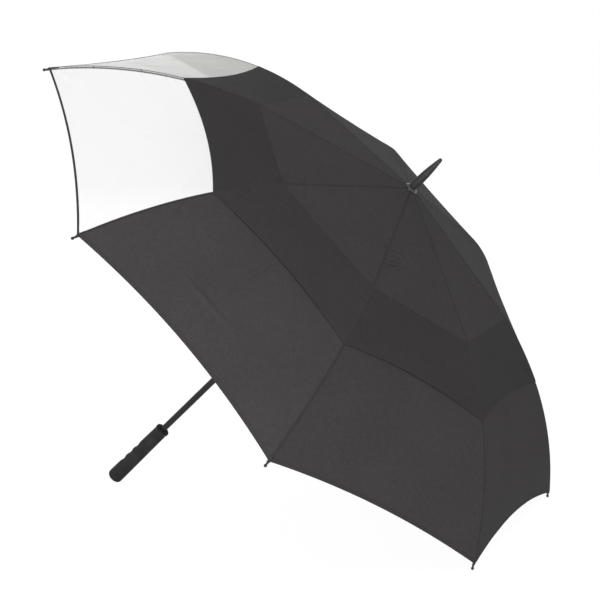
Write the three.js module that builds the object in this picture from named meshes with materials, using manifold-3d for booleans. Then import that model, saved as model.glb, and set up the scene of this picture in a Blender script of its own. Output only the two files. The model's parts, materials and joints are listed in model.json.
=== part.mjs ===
/**
 * Golf umbrella with a vented double canopy, open and lying on its side.
 *
 * Every piece is made on the umbrella's own axis: Z runs up the shaft and Z = 0 is the crown of the
 * canopy. A rib's pieces are made in the rib's own plane, X outwards and Z up, and are then turned
 * about the shaft. The whole umbrella is tipped over at the end, until the butt of the grip and the
 * tips of two ribs stand on the floor.
 */
import * as THREE from 'three';
import { mergeVertices } from 'three/addons/utils/BufferGeometryUtils.js';
import Module from 'manifold-3d';

const wasm = await Module();
wasm.setup();

// ---------------------------------------------------------------- driving dimensions, mm and degrees
const RIB_COUNT = 8;
const CLEARANCE = 0.3; // between pieces that touch

// Canopy: the inner ribs run straight down from the crown, the outer ribs bend in an arc.
const SEAM_RADIUS = 316.5; // inner edge of the lower canopy, above the rib joints
const VENT_RADIUS = 453.5; // outer edge of the upper canopy at a rib
const HEM_RADIUS = 650; // outer edge of the lower canopy at a rib
const CROWN_HOLE_RADIUS = 8.5;
const CROWN_SLOPE = 13.1;
const BEND_START_SLOPE = 17.1;
const BEND_END_SLOPE = 49.3;
const CLOTH = 0.6;
const VENT_SCALLOP = 15; // how far an edge curves in between two ribs
const HEM_SCALLOP = 15;

// Shaft, ferrule and grip
const SHAFT_RADIUS = 6.2;
const SHAFT_WALL = 1.3;
const SHAFT_TOP = 20;
const FERRULE_TOP = 81;
const FERRULE_BASE_RADIUS = 7.6;
const FERRULE_NOSE_RADIUS = 4.2;
const FERRULE_WAIST_RADIUS = 7.1;
const FERRULE_WAIST = 38; // height above the crown
const FERRULE_SOCKET = 24;
const CROWN_CAP_RADIUS = 13;
const CROWN_CAP_TOP = 3;
const CROWN_CAP_RIM = 1.2;
const CROWN_CAP_SHOULDER = 9.1;
const CROWN_CAP_BEVEL = 1;
const GRIP_TOP = -735.8;
const GRIP_LENGTH = 145;
const GRIP_TOP_RADIUS = 13.6;
const GRIP_BUTT_RADIUS = 15.6;
const GRIP_LIP = 1;
const GRIP_LIP_HEIGHT = 5;
const FINGER_GROOVES = 3;
const FINGER_PITCH = 22;
const FINGER_GROOVE_DEPTH = 1.5;
const LOWEST_FINGER_GROOVE = 50; // from the butt's flat end
const BUTT_HEIGHT = 15.6;
const BUTT_FLAT_RADIUS = 8;
const BUTT_SPIGOT = 18;

// Crown notch, which holds the ribs on a ring of wire
const HINGE_RADIUS = 11;
const HINGE_DROP = 10;
const NOTCH_RADIUS = 15.5;
const NOTCH_RISE = 3.4; // above the wire
const NOTCH_FALL = 5; // below the wire
const COLLAR_RADIUS = 8.6;
const COLLAR_HEIGHT = 9;
const COLLAR_STEP = 1.5; // from the notch's disc down to the wide part of the collar
const WIRE_RADIUS = 0.6;
const PIN_RADIUS = 1.2;

// Ribs and stretchers
const INNER_ROD_RADIUS = 1.8;
const OUTER_ROD_RADIUS = 1.6;
const OUTER_ROD_DEPTH = 4.1; // axis of the rod below the canopy's outer face
const STRETCHER_ROD_RADIUS = 1.5;
const FLEX_DEPTH = 5; // flex pivot below the canopy's outer face
const STRETCHER_OFFSET = 7; // stretcher pivot below the flex pivot
const RUNNER_DROP = 161; // of the runner's pivots below the stretchers' upper ones, when open
const EYE_RADIUS = 2.3;
const EYE_THICKNESS = 2.4;
const EYE_HOLE_RADIUS = 1;
const JOINT_PIN_RADIUS = 0.7;
const JOINT_EAR_THICKNESS = 1.3;
const JOINT_TAIL = 15; // from the flex pivot back along the inner rod
const JOINT_SLOT = 8; // open part of the joint behind the flex pivot
const TIP_LENGTH = 8;
const TIP_RADIUS = 2.5;
const TIP_BALL_RADIUS = 2.9;
const TIP_GAP = 0.5; // between the hem and the tip
const TIP_WALL = 2; // between the rod's end and the ball
const CLOSED_SLOPE = 88.5; // of the inner ribs, with the umbrella shut

// Runner and its two spring catches
const RUNNER_PIVOT_RADIUS = 14;
const RUNNER_CORE_RADIUS = 11.3;
const RUNNER_FLANGE_RADIUS = 17.5;
const RUNNER_RISE = 4; // flange above the stretcher pivots
const RUNNER_FLANGE_FALL = 5;
const RUNNER_BARREL_RADIUS = 10.2;
const RUNNER_BARREL_LENGTH = 31;
const RUNNER_CLEARANCE = 0.4;
const WINDOW_RISE = 6; // window in the barrel above its lower rim
const WINDOW_HEIGHT = 11;
const CATCH_THICKNESS = 1.4;
const CATCH_REACH = 2.4; // beak beyond the shaft
const CATCH_RELIEF = 1; // fall of the beak's face outwards, which clears the runner as it is pressed
const CATCH_FACE = 16; // beak's face above the catch's leg
const CATCH_LIP = 2.5; // of the beak, below its face
const CATCH_RAMP = 8; // where the beak starts above the leg
const CATCH_HEAD = 20;
const CATCH_LEG = 2.3; // width of the leg
const CATCH_FOOT = 3; // height of the foot that stands across the bore
const CATCH_KNEE = 1; // from the foot to the leg
const CATCH_SLACK = 0.7; // between the foot and the bore
const CATCH_OPENING_SLACK = 1.5; // above and below the beak

const RIB_STEP = (2 * Math.PI) / RIB_COUNT;
const HALF_STEP = RIB_STEP / 2;
const rad = THREE.MathUtils.degToRad;

// ---------------------------------------------------------------- canopy outline in a rib's plane
const bendStart = Math.sin(rad(BEND_START_SLOPE));
const bendRadius = (HEM_RADIUS - SEAM_RADIUS) / (Math.sin(rad(BEND_END_SLOPE)) - bendStart);

/** Slope of the canopy's outer face above a rib, in radians below the level. */
function slopeAt(r) {
  if (r < SEAM_RADIUS) return rad(CROWN_SLOPE);
  return Math.asin(bendStart + (r - SEAM_RADIUS) / bendRadius);
}

/** Point in a rib's plane, a depth below the canopy's outer face, as (r, z). */
function under(r, depth) {
  const slope = slopeAt(r);
  const straight = Math.min(r, SEAM_RADIUS) * Math.tan(rad(CROWN_SLOPE));
  const bent = r < SEAM_RADIUS ? 0 : bendRadius * (Math.cos(rad(BEND_START_SLOPE)) - Math.cos(slope));
  return new THREE.Vector2(r - depth * Math.sin(slope), -straight - bent - depth * Math.cos(slope));
}

// ---------------------------------------------------------------- linkage in a rib's plane
const hinge = new THREE.Vector2(HINGE_RADIUS, -HINGE_DROP);
const flex = under(SEAM_RADIUS, FLEX_DEPTH);
const innerSlope = Math.atan2(hinge.y - flex.y, flex.x - hinge.x);
const innerLength = hinge.distanceTo(flex);

/** Place on the inner rib, given along it and off it, with the rib at a slope. */
function onInnerRib(along, off, slope) {
  const x = hinge.x + along * Math.cos(slope) + off * Math.sin(slope);
  const z = hinge.y - along * Math.sin(slope) + off * Math.cos(slope);
  return new THREE.Vector2(x, z);
}

const stretcherTop = onInnerRib(innerLength, -STRETCHER_OFFSET, innerSlope);
const stretcherLength = Math.hypot(RUNNER_DROP, stretcherTop.x - RUNNER_PIVOT_RADIUS);

/** Height of the runner's pivots with the inner ribs at a slope. */
function runnerHeight(slope) {
  const upper = onInnerRib(innerLength, -STRETCHER_OFFSET, slope);
  return upper.y - Math.sqrt(stretcherLength ** 2 - (upper.x - RUNNER_PIVOT_RADIUS) ** 2);
}

const openHeight = runnerHeight(innerSlope);
const closedHeight = runnerHeight(rad(CLOSED_SLOPE));
const runnerFoot = RUNNER_FLANGE_FALL + RUNNER_BARREL_LENGTH;

// ---------------------------------------------------------------- solids
/** A closed solid from a geometry, with its faces turned outwards. */
function solid(geometry) {
  const bare = geometry.clone();
  bare.deleteAttribute('normal');
  bare.deleteAttribute('uv');
  const merged = mergeVertices(bare, 1e-4);
  const position = merged.attributes.position;
  const [a, b, c] = [0, 1, 2].map(() => new THREE.Vector3());
  const faces = [];
  let volume = 0;
  for (let i = 0; i < merged.index.count; i += 3) {
    const face = [0, 1, 2].map((n) => merged.index.getX(i + n));
    if (new Set(face).size < 3) continue;
    [a, b, c].forEach((corner, n) => corner.fromBufferAttribute(position, face[n]));
    volume += a.dot(b.cross(c));
    faces.push(face);
  }
  if (volume < 0) faces.forEach((face) => face.reverse());
  return new wasm.Manifold(new wasm.Mesh({
    numProp: 3,
    vertProperties: new Float32Array(position.array),
    triVerts: new Uint32Array(faces.flat()),
  }));
}

/** The geometry of a solid. */
function geometryOf(made) {
  const { vertProperties, triVerts } = made.getMesh();
  const geometry = new THREE.BufferGeometry();
  geometry.setAttribute('position', new THREE.BufferAttribute(vertProperties, 3));
  geometry.setIndex(new THREE.BufferAttribute(triVerts, 1));
  geometry.computeVertexNormals();
  return geometry;
}

/** A body turned about Z from (r, z) points that start and end on the axis or close on themselves. */
function turned(points, segments) {
  const outline = points.map(([r, z]) => new THREE.Vector2(r, z));
  return solid(new THREE.LatheGeometry(outline, segments).rotateX(Math.PI / 2));
}

/** A ring about Z, from an inner to an outer radius and from a lower to an upper height. */
function ring(inner, outer, low, high, segments = 24) {
  return turned([[inner, low], [outer, low], [outer, high], [inner, high], [inner, low]], segments);
}

/** A box from its lowest to its highest corner. */
function block(low, high) {
  const size = high.map((value, n) => value - low[n]);
  const middle = high.map((value, n) => (value + low[n]) / 2);
  return solid(new THREE.BoxGeometry(...size).translate(...middle));
}

/** A round bar along X. */
function barX(radius, from, to, sides = 6) {
  const bar = new THREE.CylinderGeometry(radius, radius, to - from, sides);
  return solid(bar.rotateZ(-Math.PI / 2).translate((from + to) / 2, 0, 0));
}

/** A round disc or pin across the rib's plane, at (x, z). */
function across(radius, width, x = 0, z = 0, sides = 8) {
  return solid(new THREE.CylinderGeometry(radius, radius, width, sides).translate(x, 0, z));
}

/** A flat plate in the rib's plane, from a shape in (x, z). */
function plate(shape, thickness) {
  const flat = new THREE.ExtrudeGeometry(shape, { depth: thickness, bevelEnabled: false, curveSegments: 2 });
  return solid(flat.translate(0, 0, -thickness / 2).rotateX(Math.PI / 2));
}

/** A solid drawn along X, tipped down by a slope and moved to a pivot of the rib's plane. */
function tipped(made, pivot, slope) {
  return made.rotate([0, THREE.MathUtils.radToDeg(slope), 0]).translate([pivot.x, 0, pivot.y]);
}

/** A rod of round section along points of the rib's plane. */
function rod(points, radius, steps) {
  const path = new THREE.CatmullRomCurve3(points.map((p) => new THREE.Vector3(p.x, 0, p.y)));
  const section = new THREE.Shape().absarc(0, 0, radius, 0, 2 * Math.PI);
  return solid(new THREE.ExtrudeGeometry(section, { steps, extrudePath: path, curveSegments: 3 }));
}

/** Slots in every rib's plane, open outwards from a radius, over a range of heights. */
function ribSlots(from, to, width, low, high) {
  const slot = block([from, -width / 2, low], [to, width / 2, high]);
  const turns = [...Array(RIB_COUNT).keys()].map((n) => (n + 0.5) * RIB_STEP);
  return turns.map((turn) => slot.rotate([0, 0, THREE.MathUtils.radToDeg(turn)]));
}

// ---------------------------------------------------------------- canopy panels
/**
 * A panel between two ribs, drawn about X: at each station it runs straight from rib to rib.
 * stations(inward) gives the radii along a rib, with the outer edge drawn inwards by that much.
 */
function panel(stations, scallop, depth) {
  const columns = 4;
  const grid = [];
  for (let column = 0; column <= columns; column += 1) {
    const side = (2 * column) / columns - 1;
    const radii = stations(scallop * (1 - side * side));
    grid.push(radii.map((r) => [depth, depth + CLOTH].map((d) => {
      const edge = under(r, d);
      const half = edge.x * Math.sin(HALF_STEP) - CLEARANCE / 2 / Math.cos(HALF_STEP);
      return [edge.x * Math.cos(HALF_STEP), half * side, edge.y];
    })));
  }
  const rows = grid[0].length;
  const position = grid.flat(2).flat();
  const corner = (column, row, face) => (column * rows + row) * 2 + face;
  const faces = [];
  const quad = (a, b, c, d) => faces.push(a, b, c, a, c, d);
  for (let column = 0; column < columns; column += 1) {
    for (let row = 0; row < rows - 1; row += 1) {
      const around = [[column, row], [column, row + 1], [column + 1, row + 1], [column + 1, row]];
      quad(...around.map(([i, j]) => corner(i, j, 0)));
      quad(...around.reverse().map(([i, j]) => corner(i, j, 1)));
    }
    quad(...[[column + 1, 0, 0], [column + 1, 0, 1], [column, 0, 1], [column, 0, 0]]
      .map((at) => corner(...at)));
    const last = rows - 1;
    quad(...[[column, last, 0], [column, last, 1], [column + 1, last, 1], [column + 1, last, 0]]
      .map((at) => corner(...at)));
  }
  for (let row = 0; row < rows - 1; row += 1) {
    quad(corner(0, row, 0), corner(0, row, 1), corner(0, row + 1, 1), corner(0, row + 1, 0));
    quad(...[[columns, row + 1, 0], [columns, row + 1, 1], [columns, row, 1], [columns, row, 0]]
      .map((at) => corner(...at)));
  }
  const geometry = new THREE.BufferGeometry();
  geometry.setAttribute('position', new THREE.Float32BufferAttribute(position, 3));
  geometry.setIndex(faces);
  return solid(geometry);
}

/** Evenly spaced radii from one to another. */
function spaced(from, to, steps) {
  return [...Array(steps + 1).keys()].map((n) => THREE.MathUtils.lerp(from, to, n / steps));
}

const upperPanel = () => panel(
  (inward) => [
    ...spaced(CROWN_HOLE_RADIUS, SEAM_RADIUS, 3),
    ...spaced(SEAM_RADIUS, VENT_RADIUS - inward, 5).slice(1),
  ],
  VENT_SCALLOP,
  0,
);

const lowerPanel = () => panel(
  (inward) => spaced(SEAM_RADIUS, HEM_RADIUS - inward, 10),
  HEM_SCALLOP,
  CLOTH + CLEARANCE,
);

// ---------------------------------------------------------------- ribs, stretchers and tips
/** Eye at the end of a rib or stretcher, without its hole. */
const eye = () => across(EYE_RADIUS, EYE_THICKNESS);

/** Flat neck between an eye and its rod. */
const tab = (length, half) => block([0, -EYE_THICKNESS / 2, -half], [length, EYE_THICKNESS / 2, half]);
const jointWidth = EYE_THICKNESS + 2 * (CLEARANCE + JOINT_EAR_THICKNESS);

/** Inner rib: eye on the crown wire, straight rod, and the moulded joint with its two pins. */
function innerRib() {
  const [top, low] = [EYE_RADIUS, -STRETCHER_OFFSET];
  const ear = new THREE.Shape().moveTo(-JOINT_TAIL, top).lineTo(0, top)
    .absarc(0, 0, top, Math.PI / 2, 0, true).lineTo(top, low)
    .absarc(0, low, top, 0, -Math.PI, true).lineTo(-JOINT_SLOT, -top).lineTo(-JOINT_TAIL, -top);
  const slot = block([-JOINT_SLOT, -EYE_THICKNESS / 2 - CLEARANCE, low - 2 * top],
    [2 * top, EYE_THICKNESS / 2 + CLEARANCE, 2 * top]);
  const joint = plate(ear, jointWidth).subtract(slot)
    .add(across(JOINT_PIN_RADIUS, jointWidth - JOINT_EAR_THICKNESS))
    .add(across(JOINT_PIN_RADIUS, jointWidth - JOINT_EAR_THICKNESS, 0, low));
  const neck = NOTCH_RADIUS - HINGE_RADIUS + 2;
  const made = eye().add(tab(neck + 1, INNER_ROD_RADIUS))
    .subtract(across(EYE_HOLE_RADIUS, 2 * EYE_THICKNESS))
    .add(barX(INNER_ROD_RADIUS, neck, innerLength - JOINT_SLOT - 1))
    .add(joint.translate([innerLength, 0, 0]));
  return tipped(made, hinge, innerSlope);
}

const rodDepth = (r) => under(r, OUTER_ROD_DEPTH);
const tipSlope = slopeAt(HEM_RADIUS);
const rodEnd = rodDepth(HEM_RADIUS);
const ballReach = TIP_LENGTH + TIP_GAP; // centre of the tip's ball beyond the rod's bend

/** Outer rib: eye on the flex pin, and a rod that bends down under the canopy into its tip. */
function outerRib() {
  const neck = 2 * EYE_RADIUS + 4;
  const stations = spaced(SEAM_RADIUS, HEM_RADIUS, 6).slice(1).map(rodDepth);
  const slope = Math.atan2(flex.y - stations[0].y, stations[0].x - flex.x);
  const start = new THREE.Vector2(flex.x + neck * Math.cos(slope), flex.y - neck * Math.sin(slope));
  const peg = tipped(barX(OUTER_ROD_RADIUS, -OUTER_ROD_RADIUS, TIP_LENGTH - TIP_WALL), rodEnd, tipSlope);
  const made = eye().add(tab(neck + 1, OUTER_ROD_RADIUS))
    .subtract(across(EYE_HOLE_RADIUS, 2 * EYE_THICKNESS));
  return rod([start, ...stations], OUTER_ROD_RADIUS, 9).add(tipped(made, flex, slope)).add(peg);
}

/** Stretcher, from its pivot under the rib down to its pivot on the runner. */
function stretcher() {
  const foot = new THREE.Vector2(RUNNER_PIVOT_RADIUS, openHeight);
  const slope = Math.atan2(stretcherTop.y - foot.y, stretcherTop.x - foot.x);
  const made = barX(STRETCHER_ROD_RADIUS, 0, stretcherLength)
    .add(eye()).add(eye().translate([stretcherLength, 0, 0]))
    .intersect(block([-EYE_RADIUS, -EYE_THICKNESS / 2, -EYE_RADIUS],
      [stretcherLength + EYE_RADIUS, EYE_THICKNESS / 2, EYE_RADIUS]))
    .subtract(across(EYE_HOLE_RADIUS, 2 * EYE_THICKNESS))
    .subtract(across(EYE_HOLE_RADIUS, 2 * EYE_THICKNESS, stretcherLength));
  return tipped(made, foot, -slope);
}

/** Moulded tip on the end of a rib, with a ball end, just beyond the hem. */
function ribTip() {
  const ball = solid(new THREE.SphereGeometry(TIP_BALL_RADIUS, 8, 6)).translate([ballReach, 0, 0]);
  const made = barX(TIP_RADIUS, TIP_GAP, TIP_LENGTH, 8).add(ball)
    .subtract(barX(OUTER_ROD_RADIUS + CLEARANCE, 0, TIP_LENGTH - TIP_WALL + CLEARANCE));
  return tipped(made, rodEnd, tipSlope);
}

// ---------------------------------------------------------------- crown
const notchFoot = -HINGE_DROP - NOTCH_FALL;
const crownPinHeight = notchFoot - COLLAR_HEIGHT / 2;

/** Notch: a slotted disc that holds the wire and the rib eyes, with a collar pinned to the shaft. */
function topNotch() {
  const bore = SHAFT_RADIUS + CLEARANCE;
  const groove = WIRE_RADIUS + CLEARANCE;
  const core = HINGE_RADIUS - EYE_RADIUS - CLEARANCE;
  const top = -HINGE_DROP + NOTCH_RISE;
  const slots = ribSlots(core, 2 * NOTCH_RADIUS, EYE_THICKNESS + 2 * CLEARANCE, notchFoot - 1, top + 1);
  let made = ring(bore, NOTCH_RADIUS, notchFoot, top)
    .subtract(ring(HINGE_RADIUS - groove, HINGE_RADIUS + groove, -HINGE_DROP - groove, top + 1));
  slots.forEach((slot) => { made = made.subtract(slot); });
  return made.add(ring(bore, core, notchFoot - COLLAR_HEIGHT, notchFoot + 1))
    .add(ring(bore, COLLAR_RADIUS, notchFoot - COLLAR_HEIGHT, notchFoot - COLLAR_STEP))
    .subtract(barX(PIN_RADIUS + CLEARANCE, -NOTCH_RADIUS, NOTCH_RADIUS).translate([0, 0, crownPinHeight]));
}

const crownWire = () => solid(new THREE.TorusGeometry(HINGE_RADIUS, WIRE_RADIUS, 5, 32))
  .translate([0, 0, -HINGE_DROP]);

const crossPin = (length, height) => barX(PIN_RADIUS, -length / 2, length / 2).translate([0, 0, height]);

/** Height of the crown cap's underside, just above the cloth. */
const capUnderside = (r) => -r * Math.tan(rad(CROWN_SLOPE)) + CLEARANCE;

/** Dished cap that presses the cloth onto the notch. */
function crownCap() {
  const bore = SHAFT_RADIUS + CLEARANCE;
  return turned([
    [bore, capUnderside(bore)],
    [CROWN_CAP_RADIUS, capUnderside(CROWN_CAP_RADIUS)],
    [CROWN_CAP_RADIUS, capUnderside(CROWN_CAP_RADIUS) + CROWN_CAP_RIM],
    [CROWN_CAP_RADIUS - CROWN_CAP_BEVEL, CROWN_CAP_TOP / 2],
    [CROWN_CAP_SHOULDER, CROWN_CAP_TOP],
    [bore, CROWN_CAP_TOP],
    [bore, capUnderside(bore)],
  ], 24);
}

/** Long tapered ferrule with a round nose, blind-bored for the shaft's end. */
function ferrule() {
  const foot = CROWN_CAP_TOP + CLEARANCE;
  const bore = SHAFT_RADIUS + CLEARANCE;
  const nose = spaced(0, 90, 4).map((turn) => [
    FERRULE_NOSE_RADIUS * Math.cos(rad(turn)),
    FERRULE_TOP - FERRULE_NOSE_RADIUS * (1 - Math.sin(rad(turn))),
  ]);
  return turned([
    [0, FERRULE_SOCKET], [bore, FERRULE_SOCKET], [bore, foot], [FERRULE_BASE_RADIUS, foot],
    [FERRULE_WAIST_RADIUS, FERRULE_WAIST], ...nose.slice(0, -1), [0, FERRULE_TOP],
  ], 24);
}

// ---------------------------------------------------------------- shaft, catches and runner
const stopPinHeight = openHeight + RUNNER_RISE + CLEARANCE + PIN_RADIUS;
const openCatchFoot = openHeight - runnerFoot - CLEARANCE - CATCH_FACE;
const closedCatchFoot = closedHeight - runnerFoot + WINDOW_RISE + CLEARANCE + CATCH_FACE;

/** Spring catch, drawn in (x, z) with its foot across the shaft's bore and its beak outwards. */
function catchPlate() {
  const bore = SHAFT_RADIUS - SHAFT_WALL;
  const foot = bore - CATCH_SLACK;
  const front = bore - CATCH_SLACK;
  const back = front - CATCH_LEG;
  const beak = SHAFT_RADIUS + CATCH_REACH;
  const face = CATCH_FACE - CATCH_RELIEF;
  const shape = new THREE.Shape([
    [-foot, -CATCH_FOOT], [foot, -CATCH_FOOT], [foot, -CATCH_KNEE], [front, 0], [front, CATCH_RAMP],
    [beak, face - CATCH_LIP], [beak, face], [SHAFT_RADIUS, CATCH_FACE], [front, CATCH_FACE],
    [front, CATCH_HEAD], [back, CATCH_HEAD], [back, 0], [-foot, -CATCH_KNEE],
  ].map(([x, z]) => new THREE.Vector2(x, z)));
  return plate(shape, CATCH_THICKNESS);
}

/** Both catches work on the +Y side of the shaft. The lower one is the upper one turned over. */
const openCatch = () => catchPlate().rotate([0, 0, 90]).translate([0, 0, openCatchFoot]);
const closedCatch = () => catchPlate().rotate([180, 0, 90]).translate([0, 0, closedCatchFoot]);

/** Opening in the shaft's wall for a catch's beak. */
function catchOpening(low, high) {
  const half = CATCH_THICKNESS / 2 + CLEARANCE;
  return block([-half, 0, low], [half, 2 * SHAFT_RADIUS, high]);
}

/** Tube shaft, with its pin holes and the openings of the two catches. */
function shaft() {
  const low = CATCH_RAMP - CATCH_OPENING_SLACK;
  const high = CATCH_FACE + CATCH_OPENING_SLACK;
  const hole = PIN_RADIUS + CLEARANCE;
  return ring(SHAFT_RADIUS - SHAFT_WALL, SHAFT_RADIUS, shaftFoot, SHAFT_TOP, 24)
    .subtract(catchOpening(openCatchFoot + low, openCatchFoot + high))
    .subtract(catchOpening(closedCatchFoot - high, closedCatchFoot - low))
    .subtract(barX(hole, -2 * SHAFT_RADIUS, 2 * SHAFT_RADIUS).translate([0, 0, stopPinHeight]))
    .subtract(barX(hole, -2 * SHAFT_RADIUS, 2 * SHAFT_RADIUS).translate([0, 0, crownPinHeight]));
}

/** Runner: slotted flange for the stretchers over a barrel with a window for the lower catch. */
function runner() {
  const bore = SHAFT_RADIUS + RUNNER_CLEARANCE;
  const top = openHeight + RUNNER_RISE;
  const flangeFoot = openHeight - RUNNER_FLANGE_FALL;
  const foot = openHeight - runnerFoot;
  const window = CATCH_THICKNESS / 2 + 2 * CLEARANCE;
  let made = ring(bore, RUNNER_FLANGE_RADIUS, flangeFoot, top)
    .add(ring(bore, RUNNER_BARREL_RADIUS, foot, flangeFoot + 1));
  ribSlots(RUNNER_CORE_RADIUS, 2 * RUNNER_FLANGE_RADIUS, EYE_THICKNESS + 2 * CLEARANCE, foot, top + 1)
    .forEach((slot) => { made = made.subtract(slot); });
  return made.subtract(block([-window, 0, foot + WINDOW_RISE],
    [window, 2 * RUNNER_BARREL_RADIUS, foot + WINDOW_RISE + WINDOW_HEIGHT]));
}

// ---------------------------------------------------------------- grip
const gripFoot = GRIP_TOP - GRIP_LENGTH;
const buttTop = gripFoot - CLEARANCE;
const buttEnd = buttTop - BUTT_HEIGHT;
const shaftFoot = buttTop + CLEARANCE;

/** Foam grip: a sleeve that swells towards the butt, with finger grooves on its -X side. */
function grip() {
  const segments = 20;
  const rows = 20;
  const bore = SHAFT_RADIUS + CLEARANCE;
  const lipFoot = GRIP_TOP - GRIP_LIP_HEIGHT;
  const grooves = [...Array(FINGER_GROOVES).keys()]
    .map((n) => buttEnd + LOWEST_FINGER_GROOVE + n * FINGER_PITCH);
  const radius = (z, turn) => {
    const swell = THREE.MathUtils.lerp(GRIP_TOP_RADIUS, GRIP_BUTT_RADIUS, (GRIP_TOP - z) / GRIP_LENGTH);
    const lip = z > lipFoot ? GRIP_LIP : 0;
    const side = Math.max(0, -Math.cos(turn)) ** 2;
    const near = Math.min(...grooves.map((at) => Math.abs(z - at)));
    const dip = Math.cos(Math.min(1, (2 * near) / FINGER_PITCH) * Math.PI / 2) ** 2;
    return swell + lip - FINGER_GROOVE_DEPTH * side * dip;
  };
  const heights = [...spaced(gripFoot, lipFoot, rows), lipFoot + GRIP_LIP, GRIP_TOP];
  const rings = heights.map((z) => spaced(0, 2 * Math.PI, segments).slice(0, -1)
    .map((turn) => [radius(z, turn) * Math.cos(turn), radius(z, turn) * Math.sin(turn), z]));
  [GRIP_TOP, gripFoot].forEach((z) => rings.push(spaced(0, 2 * Math.PI, segments).slice(0, -1)
    .map((turn) => [bore * Math.cos(turn), bore * Math.sin(turn), z])));
  const faces = [];
  rings.forEach((_, row) => {
    const next = (row + 1) % rings.length;
    for (let n = 0; n < segments; n += 1) {
      const turn = (n + 1) % segments;
      const around = [[row, n], [row, turn], [next, turn], [next, n]];
      const [a, b, c, d] = around.map(([i, j]) => i * segments + j);
      faces.push(a, b, c, a, c, d);
    }
  });
  const geometry = new THREE.BufferGeometry();
  geometry.setAttribute('position', new THREE.Float32BufferAttribute(rings.flat(2), 3));
  geometry.setIndex(faces);
  return solid(geometry);
}

/** Butt cap: a rounded end with a flat face, and a spigot up into the shaft. */
function gripEndCap() {
  const corner = GRIP_BUTT_RADIUS - BUTT_FLAT_RADIUS;
  const rim = spaced(0, 90, 4).map((turn) => [
    BUTT_FLAT_RADIUS + corner * Math.cos(rad(turn)),
    buttEnd + corner * (1 - Math.sin(rad(turn))),
  ]);
  const spigot = SHAFT_RADIUS - SHAFT_WALL - CLEARANCE;
  return turned([
    [0, buttTop + BUTT_SPIGOT], [spigot, buttTop + BUTT_SPIGOT], [spigot, buttTop],
    [GRIP_BUTT_RADIUS, buttTop], ...rim, [0, buttEnd],
  ], 24);
}

// ---------------------------------------------------------------- materials
const finishes = {
  cloth: { color: '#454344', roughness: 0.85, metalness: 0 },
  clearFilm: { color: '#f1f3f0', roughness: 0.25, metalness: 0, transparent: true, opacity: 0.6 },
  fibreglass: { color: '#262626', roughness: 0.45, metalness: 0 },
  moulding: { color: '#1f1f1f', roughness: 0.5, metalness: 0 },
  shaftCoat: { color: '#3c3c3c', roughness: 0.4, metalness: 0.2 },
  foam: { color: '#2e2d2d', roughness: 0.9, metalness: 0 },
  steel: { color: '#b8b8b8', roughness: 0.25, metalness: 1 },
};

/** A named mesh of a solid, with a material of its own. */
function piece(name, geometry, finish) {
  const { transparent = false, opacity = 1, ...look } = finishes[finish];
  const mesh = new THREE.Mesh(geometry, new THREE.MeshStandardMaterial({ ...look, transparent, opacity }));
  mesh.name = name;
  return mesh;
}

// ---------------------------------------------------------------- assembly
const umbrella = new THREE.Group();
const addFixed = (name, made, finish) => umbrella.add(piece(name, geometryOf(made), finish));
addFixed('shaft', shaft(), 'shaftCoat');
addFixed('grip', grip(), 'foam');
addFixed('grip_end_cap', gripEndCap(), 'moulding');
addFixed('top_notch', topNotch(), 'moulding');
addFixed('crown_wire', crownWire(), 'steel');
addFixed('crown_pin', crossPin(2 * COLLAR_RADIUS - 1, crownPinHeight), 'steel');
addFixed('crown_cap', crownCap(), 'steel');
addFixed('ferrule', ferrule(), 'moulding');
addFixed('stop_pin', crossPin(2 * (SHAFT_RADIUS + CATCH_REACH), stopPinHeight), 'steel');
addFixed('open_catch', openCatch(), 'steel');
addFixed('closed_catch', closedCatch(), 'steel');
addFixed('runner', runner(), 'moulding');

const CLEAR_PANELS = [1, 8]; // panel n lies between rib n and the next one
const shared = {
  inner_rib: [geometryOf(innerRib()), 'moulding'],
  outer_rib: [geometryOf(outerRib()), 'fibreglass'],
  stretcher: [geometryOf(stretcher()), 'fibreglass'],
  rib_tip: [geometryOf(ribTip()), 'moulding'],
};
const upper = geometryOf(upperPanel());
const lower = geometryOf(lowerPanel());
for (let n = 1; n <= RIB_COUNT; n += 1) {
  const spoke = new THREE.Group();
  spoke.rotation.z = (n - 0.5) * RIB_STEP - Math.PI;
  Object.entries(shared).forEach(([name, [geometry, finish]]) => {
    spoke.add(piece(`${name}_${n}`, geometry, finish));
  });
  const gore = new THREE.Group();
  gore.rotation.z = n * RIB_STEP - Math.PI;
  const clear = CLEAR_PANELS.includes(n);
  gore.add(piece(`upper_panel_${n}`, upper, 'cloth'));
  gore.add(piece(clear ? `window_panel_${n}` : `lower_panel_${n}`, lower, clear ? 'clearFilm' : 'cloth'));
  umbrella.add(spoke, gore);
}

// Tip the umbrella over about Y, until the round of the butt and the balls of two rib tips stand level.
const buttCorner = GRIP_BUTT_RADIUS - BUTT_FLAT_RADIUS;
const ballRadius = rodEnd.x + ballReach * Math.cos(tipSlope);
const ballHeight = rodEnd.y - ballReach * Math.sin(tipSlope);
const outward = ballRadius * Math.cos(HALF_STEP) - BUTT_FLAT_RADIUS;
const upward = ballHeight - (buttEnd + buttCorner);
const lean = Math.atan2(upward, outward)
  + Math.asin((buttCorner - TIP_BALL_RADIUS) / Math.hypot(outward, upward));
umbrella.rotation.y = lean;

const part = new THREE.Group();
part.add(umbrella);
part.updateMatrixWorld(true);
const bounds = new THREE.Box3().setFromObject(part, true);
const middle = bounds.getCenter(new THREE.Vector3());
umbrella.position.set(-middle.x, -middle.y, -bounds.min.z);
part.updateMatrixWorld(true);

export default part;
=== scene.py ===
"""Looks of a golf umbrella with a vented double canopy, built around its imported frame.

Everything is drawn in the umbrella's own frame, whose z runs up the shaft with z = 0 at the crown, and is
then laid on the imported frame. Rib n and panel n are numbered as in the frame: panel n lies between rib n
and the next one. Sizes are in metres, and the studio's angles in degrees.
"""

from __future__ import annotations

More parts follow.
